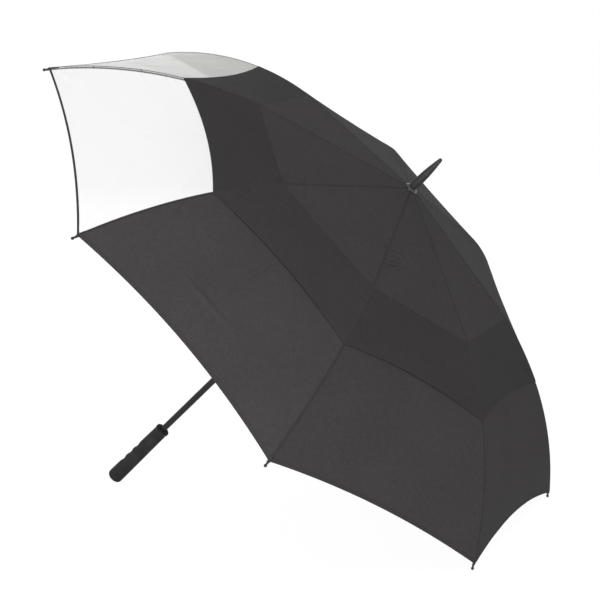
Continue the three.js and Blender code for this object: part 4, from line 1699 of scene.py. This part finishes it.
class Ribs(Maker):
    """The eight ribs with their stretchers, joints, tips and ties."""

    size = RibSizes()

    def __init__(self, umbrella: Umbrella, palette: Palette, profile: Profile) -> None:
        """Works out the linkage in a rib's plane.

        Args:
            umbrella: The frame.
            palette: The materials.
            profile: The canopy's outline.
        """
        super().__init__(umbrella, palette)
        self.profile = profile
        size = self.size
        self.hinge = np.array([HINGE_RADIUS, -HINGE_DROP])
        self.flex = np.array(profile.under(np.array(profile.seam), size.flex_depth))
        way = self.flex - self.hinge
        self.length = float(np.linalg.norm(way))
        self.way = way / self.length
        self.foot = np.array([PIVOT_RADIUS, umbrella.span("runner")[1] - PIVOT_DROP])
        self.knee = self.flex - size.stretcher_offset * np.array([-self.way[1], self.way[0]])

    def along(self, start: Array, way: Array) -> Matrix:
        """The matrix that lays something drawn along x onto a line of the rib's plane."""
        turn = Matrix.Rotation(-atan2(way[1], way[0]), 4, "Y")
        return Matrix.Translation((start[0], 0, start[1])) @ turn

    def eye(self) -> Solid:
        """An eye about the origin, drilled, with broken edges.

        Returns:
            The eye.
        """
        size = self.size
        hole, rim, half = size.eye_hole, size.eye, size.eye_thick / 2
        outline = [(hole, -half), (rim, -half), (rim, half), (hole, half), (hole, -half)]
        return lying(turned(rounded(outline, size.eye_edge, ends=True), sides=24))

    def strap(self, reach: float, height: float) -> Solid:
        """The flat neck from an eye to its rod, which swells out of it.

        Args:
            reach: How far from the eye's middle it ends.
            height: The rod's radius.

        Returns:
            The neck.
        """
        size = self.size
        xs = np.linspace(0.6 * size.eye, reach, size.strap_points)
        radii = np.linspace(0.75, 1, size.strap_points) * height
        flat = min(1.0, size.eye_thick / 2 / height)
        return rod(np.stack([xs, np.zeros_like(xs)], 1), radii, sides=14, flat=flat)

    def inner_rib(self) -> Solid:
        """The inner rib's rod with the eye that turns on the crown wire.

        Returns:
            The rib.
        """
        size = self.size
        stations = (size.inner_rod_start, size.inner_strap, self.length / 2, self.length - size.slot - 1 * MM)
        straight = rod(np.array([[x, 0] for x in stations]), size.inner_rod, sides=16)
        made = self.eye().joined(self.strap(size.inner_strap, size.inner_rod), straight)
        return made.moved(self.along(self.hinge, self.way))

    def joint(self) -> Solid:
        """The moulded joint: a socket on the inner rod and two ears that hold both pins.

        Returns:
            The joint.
        """
        size = self.size
        top, low = size.eye, -size.stretcher_offset
        inner = size.eye_thick / 2 + size.gap
        outside = inner + size.ear
        ear = [*arc(top, 0, 90), (-size.slot + 1 * MM, top), (-size.slot, -0.6 * top),
               (-size.slot * 0.55, -top), *arc(top, 180, 360, (0, low))]
        cheeks = [plate(ear, -outside, -inner), plate(ear, inner, outside)]
        xs = np.array([-size.tail, -size.tail + 1 * MM, -size.slot - 2 * MM, -size.slot + 0.4 * MM])
        socket = rod(np.stack([xs, np.zeros_like(xs)], 1), [*size.tail_radii, outside, outside], sides=20)
        collar = rod(np.array([[-size.tail - size.collar_length, 0], [-size.tail, 0]]), size.collar, sides=20)
        return cheeks[0].joined(cheeks[1], socket, collar).moved(self.along(self.flex, self.way))

    def rivet(self) -> Solid:
        """A pin across the joint with a domed head at each end.

        Returns:
            The pin.
        """
        size = self.size
        half = size.eye_thick / 2 + size.gap + size.ear
        before = [(r, -half - rise) for r, rise in size.rivet_head]
        after = [(r, half + rise) for r, rise in reversed(size.rivet_head)]
        return lying(turned([*before, (size.rivet, -half), (size.rivet, half), *after], sides=16))

    def rivets(self) -> Solid:
        """Both pins of the joint."""
        low = Matrix.Translation((0, 0, -self.size.stretcher_offset))
        return self.rivet().joined(self.rivet().moved(low)).moved(self.along(self.flex, self.way))

    def outer_rib(self) -> Solid:
        """The outer rib: an eye on the joint's pin, and a rod bent under the canopy into its tip.

        Returns:
            The rib.
        """
        size, profile = self.size, self.profile
        radius = np.linspace(profile.seam + size.outer_rod_start, profile.hem, 40)
        x, z = profile.under(radius, size.rod_depth)
        first = np.array([x[0], z[0]]) - self.flex
        first /= np.linalg.norm(first)
        start = self.flex + first * (2 * size.eye + 2 * MM)
        path = np.concatenate([[start], np.stack([x, z], 1)])
        slope = float(profile.slope(np.array(profile.hem)))
        end = path[-1] + (size.tip - 3 * MM) * np.array([cos(slope), -sin(slope)])
        path = np.concatenate([path, [end]])
        thick, thin = (size.outer_rod * share for share in size.outer_taper)
        made = self.eye().joined(self.strap(2 * size.eye + 4 * MM, size.outer_rod))
        bent = rod(path, np.linspace(thick, thin, len(path)), sides=16)
        return made.moved(self.along(self.flex, first)).joined(bent)

    def stretcher(self) -> Solid:
        """The stretcher: a flat-sided rod with a moulded eye at each end.

        Returns:
            The stretcher.
        """
        size = self.size
        way = self.knee - self.foot
        length = float(np.linalg.norm(way))
        path = np.array([[6 * MM, 0], [length / 2, 0], [length - 6 * MM, 0]])
        flat = size.eye_thick / 2 / size.stretcher_rod
        far = Matrix.Translation((length, 0, 0)) @ Matrix.Rotation(pi, 4, "Z")
        end = self.eye().joined(self.strap(size.stretcher_strap, 1.1 * size.stretcher_rod))
        made = rod(path, size.stretcher_rod, sides=16, flat=flat).joined(end, end.moved(far))
        return made.moved(self.along(self.foot, way / length))

    def tip(self) -> Solid:
        """The moulded tip: a waisted sleeve with a ball end.

        Returns:
            The tip.
        """
        size, profile = self.size, self.profile
        gap = size.tip_gap
        middle = size.tip + gap
        turns = np.radians(np.linspace(50, 180, 12))
        ball = [(size.ball * sin(a), middle - size.ball * cos(a)) for a in turns]
        sleeve = [(0, gap), (size.tip_radius, gap),
                  *((share * size.tip_radius, gap + rise) for share, rise in size.tip_waist),
                  (size.tip_neck * size.tip_radius, middle - size.ball), ball[0]]
        upright = turned([*rounded(sleeve, 0.4 * MM), *ball[1:-1], (0, middle + size.ball)], sides=24)
        slope = float(profile.slope(np.array(profile.hem)))
        lay = Matrix.Rotation(pi / 2 + slope, 4, "Y")
        x, z = profile.under(np.array(profile.hem), size.rod_depth)
        return upright.moved(Matrix.Translation((float(x), 0, float(z))) @ lay)

    def pocket(self) -> Solid:
        """The folded cloth tab that holds the hem's corner to the rib's tip.

        Returns:
            The tab.
        """
        size, profile = self.size, self.profile
        radius = np.linspace(profile.hem - size.pocket_length, profile.hem, len(size.pocket_swell))
        x, z = profile.under(radius, size.rod_depth - size.tie_rise)
        radii = np.array(size.pocket_swell) * size.pocket_radius
        return rod(np.stack([x, z], 1), radii, sides=18, flat=size.tie_flat)

    def ties(self) -> Solid:
        """Loops of thread that tie the rod to the canopy's seam.

        Returns:
            The loops.
        """
        size, profile = self.size, self.profile
        turns = np.linspace(0, 2 * pi, 7)[:-1]
        middle = size.outer_rod + size.tie_gap
        ring = [(middle + size.thread * cos(a), size.thread * sin(a)) for a in turns]
        loops = []
        for radius in size.ties:
            slope = float(profile.slope(np.array(radius)))
            x, z = profile.under(np.array(radius), size.rod_depth - size.tie_rise)
            for shift in (-0.5 * MM, 0, 0.5 * MM):
                loop = turned([*ring, ring[0]], sides=18)
                loop.points[:, 0] *= size.tie_flat
                lay = Matrix.Rotation(pi / 2 + slope, 4, "Y")
                shifted = Matrix.Translation((float(x) + shift, 0, float(z) - shift * tan(slope)))
                loops.append(loop.moved(shifted @ lay))
        return loops[0].joined(*loops[1:])

    def build(self) -> None:
        """Makes the ribs, each piece drawn once and laid in every rib's plane."""
        kinds = [
            ("rib_rod", self.inner_rib(), "inner_rib_body", Slot.FIBREGLASS, "inner_rib"),
            ("rib_joint", self.joint(), "inner_rib_body", Slot.MOULDED, "inner_rib"),
            ("rib_rivets", self.rivets(), "inner_rib_body", Slot.STEEL, None),
            ("outer_rod", self.outer_rib(), "outer_rib_body", Slot.FIBREGLASS, "outer_rib"),
            ("tip", self.tip(), "outer_rib_body", Slot.MOULDED, "rib_tip"),
            ("tip_pocket", self.pocket(), "outer_rib_body", Slot.CLOTH, None),
            ("thread_ties", self.ties(), "outer_rib_body", Slot.CLOTH, None),
            ("stretcher_arm", self.stretcher(), "stretcher_body", Slot.FIBREGLASS, "stretcher"),
        ]
        for name, drawn, body, slot, node in kinds:
            for n in RIBS:
                piece = drawn.moved(self.umbrella.rib(n)).shown(f"{name}_{n}", self.palette[slot])
                mount(piece, f"{body}_{n}", slot, *([f"{node}_{n}"] if node else []))


# ---------------- crown, shaft, grip


@dataclass(frozen=True)
class HubSizes:
    """Sizes of the crown's, the shaft's and the runner's pieces. Rises are measured from a piece's end."""

    bore: float = 6.5 * MM
    shaft_radius: float = 6.2 * MM
    shaft_wall: float = 1.3 * MM
    slot_width: float = 3.0 * MM
    wire: float = 0.6 * MM
    pin: float = 1.2 * MM
    pin_end: float = 0.7 * MM
    spike_nose: float = 3.7 * MM
    spike_start: float = 2.2 * MM
    spike_ring: Outline = ((7.0 * MM, 0), (7.2 * MM, 0), (7.6 * MM, 0.4 * MM), (7.6 * MM, 1.4 * MM),
                           (7.2 * MM, 1.8 * MM))
    spike_shares: Series = (0, 0.12, 0.25, 0.4, 0.55, 0.7, 0.82, 0.95)
    spike_radii: Series = (8.1 * MM, 8.3 * MM, 8.3 * MM, 7.95 * MM, 7.2 * MM, 6.1 * MM, 5.0 * MM, 3.7 * MM)
    cap_rim: float = 13 * MM
    cap_edge: float = 0.6 * MM
    cap_hollow: float = 1.7 * MM
    cap_side: Outline = ((1, 0.5 * MM), (1, 1.1 * MM), (0.93, 2.3 * MM), (0.8, 4.0 * MM))
    cap_top: Outline = ((0.7, -0.3 * MM), (0.62, 0))
    notch_foot: float = -15 * MM
    notch_neck: float = 8.6 * MM
    notch_throat: float = 8.1 * MM
    notch_radius: float = 15.5 * MM
    notch_slots: Point = (8.4 * MM, 20 * MM)
    notch_groove: Point = (10.1 * MM, 11.9 * MM)
    notch_groove_floor: float = -10.9 * MM
    opening: float = 1.0 * MM
    catch_thick: float = 0.7 * MM
    catch_depth: float = 2.3 * MM
    runner_bore: float = 6.6 * MM
    runner_flange: float = 17.5 * MM
    runner_barrel: float = 10.2 * MM
    runner_shoulder: float = 9 * MM
    runner_slots: Point = (11.3 * MM, 30 * MM)
    runner_wire: float = 0.55 * MM
    runner_window: Series = (1.3 * MM, 14 * MM, 6 * MM, 17 * MM)
    finger_rings: int = 4
    finger_pitch: float = 4.2 * MM
    finger_start: float = 5 * MM
    finger_ring: Outline = ((-0.5 * MM, 0.9 * MM), (0, 1.5 * MM), (0, 3.3 * MM), (-0.5 * MM, 4.0 * MM))


@dataclass(frozen=True)
class GripSizes:
    """Sizes of the foam grip and of the butt under it."""

    sides: int = 96
    rows: int = 150
    foam_start: float = 15.65 * MM
    foot_radius: float = 15.6 * MM
    neck_radius: float = 13.6 * MM
    lip: float = 1.0 * MM
    lip_height: float = 5.5 * MM
    lip_edge: float = 0.35 * MM
    top_edge: float = 0.8 * MM
    top: Outline = ((14.35 * MM, -0.5 * MM), (14.0 * MM, -0.2 * MM), (13.3 * MM, 0), (8.6 * MM, 0),
                    (7.6 * MM, -0.25 * MM), (6.9 * MM, -0.8 * MM), (6.5 * MM, -1.6 * MM))
    grooves: int = 3
    first_groove: float = 50 * MM
    groove_pitch: float = 22 * MM
    groove_reach: float = 11 * MM
    groove_depth: float = 1.7 * MM
    butt_height: float = 15.6 * MM
    butt_flat: float = 8 * MM
    butt_edge: float = 0.15 * MM
    butt_core: float = 4.5 * MM


class Hub(Maker):
    """Everything on the shaft's axis: crown, ferrule, shaft, runner, catches and grip."""

    size = HubSizes()
    grip_size = GripSizes()

    def show(self, name: str, solid: Solid, slot: Slot, *nodes: str, body: str = "shaft_body") -> Piece:
        """Lays a solid on the umbrella's axis and puts it on its body."""
        made = solid.moved(self.umbrella.matrix).shown(name, self.palette[slot])
        return mount(made, body, slot, *nodes)

    def show_cut(self, name: str, solid: Solid, cutters: Solid, slot: Slot, *nodes: str,
                 body: str = "shaft_body") -> Piece:
        """The same for a solid with others cut out of it.

        Args:
            name: The piece's name.
            solid: The solid.
            cutters: What is cut out of it.
            slot: The material slot of its finish.
            nodes: The frame's nodes that it stands for.
            body: The body it rides on.

        Returns:
            The piece.
        """
        made = slotted(solid.shown(name, self.palette[slot]), cutters)
        made.data.transform(self.umbrella.matrix)
        return mount(made, body, slot, *nodes)

    def ferrule(self) -> None:
        """The long ferrule: swelling a little above its foot, then tapering to a round nose."""
        size = self.size
        low, high = self.umbrella.span("ferrule")
        nose = size.spike_nose
        heights = np.linspace(low + size.spike_start, high - nose, 22)
        radii = np.interp((heights - low) / (high - low), size.spike_shares, size.spike_radii)
        side = list(zip(radii.tolist(), heights.tolist()))
        tip = [(nose * cos(a), high - nose + nose * sin(a)) for a in np.radians(np.linspace(9, 90, 10))]
        ring = [(r, low + rise) for r, rise in size.spike_ring]
        outline = [(0, low), *ring, *side, *tip[:-1], (0, high)]
        self.show("ferrule_spike", turned(outline, sides=56), Slot.MOULDED, "ferrule")

    def cap(self) -> None:
        """The plated dished cap that presses the cloth onto the notch."""
        size = self.size
        low, high = self.umbrella.span("crown_cap")
        rim, bore = size.cap_rim, size.bore
        outline = [(bore, low + size.cap_hollow), (rim - size.cap_edge, low),
                   *((share * rim, low + rise) for share, rise in size.cap_side),
                   *((share * rim, high + rise) for share, rise in size.cap_top),
                   (bore, high), (bore, low + size.cap_hollow)]
        solid = turned(rounded(outline, 0.7 * MM, ends=True), sides=64)
        # The cap's chrome is darkened, a painted reflection of the dark canopy around it.
        self.show("bright_cap", solid, Slot.CHROME, "crown_cap")

    def notch(self) -> None:
        """The slotted notch with its collar, the wire ring and the pin through both."""
        size = self.size
        low, high = self.umbrella.span("top_notch")
        foot, bore, over = size.notch_foot, size.bore, high + 1 * MM
        outline = [(bore, low), (size.notch_neck, low), (size.notch_neck, foot - 1.5 * MM),
                   (size.notch_throat, foot), (size.notch_radius, foot), (size.notch_radius, high),
                   (bore, high), (bore, low)]
        cutters = slots_between_ribs(*size.notch_slots, size.slot_width, foot - 1 * MM, over)
        (inner, outer), floor = size.notch_groove, size.notch_groove_floor
        groove = turned([(inner, floor), (outer, floor), (outer, over), (inner, over), (inner, floor)])
        solid = turned(rounded(outline, 0.5 * MM, ends=True), sides=64)
        self.show_cut("slotted_notch", solid, cutters.joined(groove), Slot.MOULDED, "top_notch")
        self.show("notch_wire", self.wire(HINGE_RADIUS, -HINGE_DROP, size.wire), Slot.STEEL, "crown_wire")
        self.pin("collar_pin", "crown_pin")

    def wire(self, radius: float, height: float, thick: float) -> Solid:
        """A ring of wire about the shaft.

        Args:
            radius: The ring's radius.
            height: Its height.
            thick: The wire's radius.

        Returns:
            The ring.
        """
        turns = np.linspace(0, 2 * pi, 11)[:-1]
        section = [(radius + thick * cos(a), height + thick * sin(a)) for a in turns]
        return turned([*section, section[0]], sides=72)

    def pin(self, name: str, node: str) -> None:
        """A cross pin with domed ends, in place of one of the frame's.

        Args:
            name: The piece's name.
            node: The frame's pin.
        """
        size = self.size
        points = self.umbrella.local(node)
        reach = float(np.abs(points[:, 0]).max())
        middle = float((points[:, 2].min() + points[:, 2].max()) / 2)
        sides = ((size.pin_end, reach - 0.1 * MM), (size.pin, reach - 0.5 * MM))
        outline = [(0, -reach), *((r, -z) for r, z in sides), *reversed(sides), (0, reach)]
        lay = Matrix.Translation((0, 0, middle)) @ Matrix.Rotation(pi / 2, 4, "Y")
        self.show(name, turned(rounded(outline, 0.3 * MM), sides=20).moved(lay), Slot.STEEL, node)

    def shaft(self) -> None:
        """The tube shaft with the openings of both catches."""
        size = self.size
        low, high = self.umbrella.span("shaft")
        outer, inner = size.shaft_radius, size.shaft_radius - size.shaft_wall
        steps = [(outer, z) for z in np.linspace(low, high, 9)[1:-1].tolist()]
        outline = [(inner, low), (outer, low), *steps, (outer, high), (inner, high), (inner, low)]
        openings = []
        for node in ("open_catch", "closed_catch"):
            points = self.umbrella.local(node)
            beak = points[points[:, 1] > outer]
            openings.append(box((-size.opening, 2 * MM, beak[:, 2].min() - 5 * MM),
                                (size.opening, 9 * MM, beak[:, 2].max() + 2 * MM)))
        solid = turned(rounded(outline, 0.3 * MM, ends=True), sides=56)
        self.show_cut("tube_shaft", solid, openings[0].joined(openings[1]), Slot.COAT, "shaft")
        self.pin("runner_stop", "stop_pin")

    def catches(self) -> None:
        """Both spring catches, bent from strip."""
        size = self.size
        for name, node, sign in (("upper_catch", "open_catch", 1), ("lower_catch", "closed_catch", -1)):
            points = self.umbrella.local(node)
            low, high = points[:, 2].min(), points[:, 2].max()
            foot = low if sign > 0 else high
            reach = float(points[:, 1].max())
            front = size.shaft_radius - size.shaft_wall - size.catch_thick
            back = front - size.catch_depth
            shape = [(-front, 0), (front, 0), (front, 2 * MM), (front, 3 * MM), (front, 11 * MM),
                     (reach, 15.5 * MM), (reach, 18 * MM), (size.shaft_radius, 19 * MM), (front, 19 * MM),
                     (front, 23 * MM), (back, 23 * MM), (back, 3 * MM), (-front, 2 * MM)]
            closed = rounded([*shape, shape[0]], 0.5 * MM, ends=True)[:-1]
            outline = closed if sign > 0 else [(x, -z) for x, z in reversed(closed)]
            lay = Matrix.Translation((0, 0, foot)) @ Matrix.Rotation(pi / 2, 4, "Z")
            solid = plate(outline, -size.catch_thick, size.catch_thick, 0.15 * MM).moved(lay)
            self.show(name, solid, Slot.STEEL, node, body=f"{node}_body")

    def runner(self) -> None:
        """The runner: a slotted flange over a barrel with finger rings and the catch's window."""
        size = self.size
        low, high = self.umbrella.span("runner")
        bore, flange, barrel = size.runner_bore, size.runner_flange, size.runner_barrel
        shoulder = high - size.runner_shoulder
        rings = []
        for n in range(size.finger_rings):
            z = low + size.finger_start + n * size.finger_pitch
            rings += [(barrel + off, z + rise) for off, rise in size.finger_ring]
        outline = [(bore, low), (barrel, low), (barrel, low + 4.2 * MM), *rings,
                   (barrel - 0.3 * MM, shoulder - 3 * MM), (barrel + 0.6 * MM, shoulder),
                   (flange, shoulder), (flange, high), (bore, high), (bore, low)]
        cutters = slots_between_ribs(*size.runner_slots, size.slot_width, low, high + 1 * MM)
        half, deep, sill, top = size.runner_window
        window = box((-half, 0, low + sill), (half, deep, low + top))
        solid = turned(rounded(outline, 0.45 * MM, ends=True), sides=72)
        self.show_cut("slotted_runner", solid, cutters.joined(window), Slot.MOULDED, "runner",
                      body="runner_body")
        ring = self.wire(PIVOT_RADIUS, high - PIVOT_DROP, size.runner_wire)
        self.show("runner_wire", ring, Slot.STEEL, body="runner_body")

    def foam(self, low: float, high: float, grooves: Sequence[float]) -> Solid:
        """The foam grip with its lip, and finger grooves on one side.

        Args:
            low: Its lowest height.
            high: Its greatest height.
            grooves: The heights of the grooves.

        Returns:
            The foam.
        """
        size = self.grip_size
        turns = np.arange(size.sides) * 2 * pi / size.sides
        side = np.maximum(0, -np.cos(turns)) ** 2
        points = []
        for z in np.linspace(low, high - size.top_edge, size.rows):
            swell = size.neck_radius + (size.foot_radius - size.neck_radius) * (high - z) / (high - low)
            lip = size.lip / (1 + exp(-(z - high + size.lip_height) / size.lip_edge))
            near = min(abs(z - at) for at in grooves)
            dip = cos(min(1, near / size.groove_reach) * pi / 2) ** 2
            ring = swell + lip - size.groove_depth * dip * side
            points.append([(r * cos(a), r * sin(a), z) for r, a in zip(ring, turns)])
        for r, z in (*((r, high + rise) for r, rise in size.top), (self.size.bore, low)):
            points.append([(r * cos(a), r * sin(a), z) for a in turns])
        count = len(points) * size.sides
        faces = grid_faces(len(points) + 1, size.sides, around=True)
        return Solid(np.array(points), [tuple(i % count for i in face) for face in faces])

    def grip(self) -> None:
        """The foam grip and the rounded butt under it."""
        size = self.grip_size
        high = self.umbrella.span("grip")[1]
        low, core_top = self.umbrella.span("grip_end_cap")
        grooves = [low + size.first_groove + n * size.groove_pitch for n in range(size.grooves)]
        self.show("foam_grip", self.foam(low + size.foam_start, high, grooves), Slot.FOAM, "grip")
        wide, flat, core, top = size.foot_radius, size.butt_flat, size.butt_core, low + size.butt_height
        corner = wide - flat
        turns = np.radians(np.linspace(0, 90, 14))
        butt = [(flat + corner * sin(a), low + corner * (1 - cos(a))) for a in turns]
        outline = [(0, low), *butt, (wide, top - size.butt_edge), (wide - size.butt_edge, top), (core, top),
                   (core, core_top), (0, core_top)]
        self.show("rounded_butt", turned(outline, sides=72), Slot.FOAM, "grip_end_cap")

    def build(self) -> None:
        """Makes every piece on the shaft's axis."""
        for make in (self.ferrule, self.cap, self.notch, self.shaft, self.catches, self.runner, self.grip):
            make()


# ---------------- studio


@dataclass(frozen=True)
class Lamp:
    """A soft square lamp that looks at the umbrella's middle."""

    name: str
    place: Triple
    size: float
    power: float
    mirrored: bool = True


@dataclass(frozen=True)
class Studio:
    """Pale floor, plain soft light and the camera."""

    camera_place: Triple = (1.4155, -3.4928, 1.1220)
    azimuth: float = 22.26
    elevation: float = 10.675
    roll: float = 0.48
    lens: float = 119.1
    sensor: float = 36
    aim: Triple = (0, 0, 0.45)
    ambient: float = 0.55
    floor_reach: float = 60.0
    floor_tone: float = 0.92
    floor_roughness: float = 0.9
    floor_glow: float = 0.85
    floor_white: float = 1.1
    lamps: tuple[Lamp, ...] = (
        Lamp("key", (0.8, -4.9, 1.0), 2.6, 160),
        Lamp("back", (-2.2, 3.6, 2.0), 2.4, 34, mirrored=False),
    )

    def camera(self) -> None:
        """Makes the camera."""
        a, e = radians(self.azimuth), radians(self.elevation)
        back = Vector((sin(a) * cos(e), -cos(a) * cos(e), sin(e)))
        made = bpy.data.objects.new("camera", bpy.data.cameras.new("camera"))
        made.data.lens, made.data.sensor_width = self.lens, self.sensor
        turn = (-back).to_track_quat("-Z", "Y").to_matrix().to_4x4()
        roll = Matrix.Rotation(radians(self.roll), 4, "Z")
        made.matrix_world = Matrix.Translation(self.camera_place) @ turn @ roll
        bpy.context.scene.collection.objects.link(made)
        bpy.context.scene.camera = made

    def light(self) -> None:
        """Makes the lamps and the world, which is white to the camera and in reflections."""
        for lamp in self.lamps:
            made = bpy.data.objects.new(lamp.name, bpy.data.lights.new(lamp.name, "AREA"))
            made.data.size, made.data.energy = lamp.size, lamp.power
            made.visible_glossy = lamp.mirrored
            aim = Vector(self.aim) - Vector(lamp.place)
            turn = aim.to_track_quat("-Z", "Y").to_matrix().to_4x4()
            made.matrix_world = Matrix.Translation(lamp.place) @ turn
            bpy.context.scene.collection.objects.link(made)
        world = bpy.data.worlds.new("studio")
        world.use_nodes = True
        nodes = Nodes(world.node_tree)
        seen = self.seen(nodes)
        plain = nodes.feed(world.node_tree.nodes["Background"], Color=(1, 1, 1, 1), Strength=self.ambient)
        white = nodes.feed(nodes.add("ShaderNodeBackground"), Color=(1, 1, 1, 1), Strength=1.0)
        mix = nodes.feed(nodes.add("ShaderNodeMixShader"), i0=seen, i1=plain.outputs[0], i2=white.outputs[0])
        nodes.feed(world.node_tree.nodes["World Output"], Surface=mix.outputs[0])
        bpy.context.scene.world = world

    def seen(self, nodes: Nodes) -> Socket:
        """1 for rays from the camera and for those that carry a reflection or pass through.

        Args:
            nodes: The tree that it is wired in.

        Returns:
            The socket.
        """
        path = nodes.add("ShaderNodeLightPath").outputs
        both = nodes.math("MAXIMUM", path["Is Camera Ray"], path["Is Glossy Ray"])
        return nodes.math("MAXIMUM", both, path["Is Transmission Ray"])

    def floor(self) -> None:
        """Makes the floor, white to the camera with a soft shadow."""
        reach = self.floor_reach
        square = [(-reach, -reach, 0), (reach, -reach, 0), (reach, reach, 0), (-reach, reach, 0)]
        mesh = bpy.data.meshes.new("floor")
        mesh.from_pydata(square, [], [(0, 1, 2, 3)])
        material = bpy.data.materials.new("pale_floor")
        material.use_nodes = True
        nodes = Nodes(material.node_tree)
        shader = material.node_tree.nodes["Principled BSDF"]
        nodes.feed(shader, Base_Color=paint((self.floor_tone,) * 3), Roughness=self.floor_roughness,
                   Specular_IOR_Level=0.0)
        glow = nodes.feed(nodes.add("ShaderNodeEmission"), Color=(1, 1, 1, 1), Strength=self.floor_white)
        share = nodes.math("MULTIPLY", self.seen(nodes), self.floor_glow)
        mix = nodes.feed(nodes.add("ShaderNodeMixShader"), i0=share, i1=shader.outputs[0], i2=glow.outputs[0])
        nodes.feed(material.node_tree.nodes["Material Output"], Surface=mix.outputs[0])
        mesh.materials.append(material)
        floor = bpy.data.objects.new("floor", mesh)
        bpy.context.scene.collection.objects.link(floor)
        floor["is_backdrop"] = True

    def build(self) -> None:
        """Sets up the whole studio."""
        self.camera()
        self.light()
        self.floor()
        bpy.context.scene.view_settings.view_transform = "Standard"


def corners() -> list[list[float]]:
    """The box of what is shown, as plain numbers."""
    return [[float(x) for x in corner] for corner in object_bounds()]


def main() -> None:
    """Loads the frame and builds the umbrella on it."""
    logging.basicConfig(level=logging.INFO, format="%(name)s: %(message)s")
    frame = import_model()
    Studio().build()
    umbrella = Umbrella(frame)
    palette = Palette()
    canopy = Canopy(umbrella, palette)
    canopy.build()
    Ribs(umbrella, palette, canopy.profile).build()
    Hub(umbrella, palette).build()


if __name__ == "__main__":
    main()
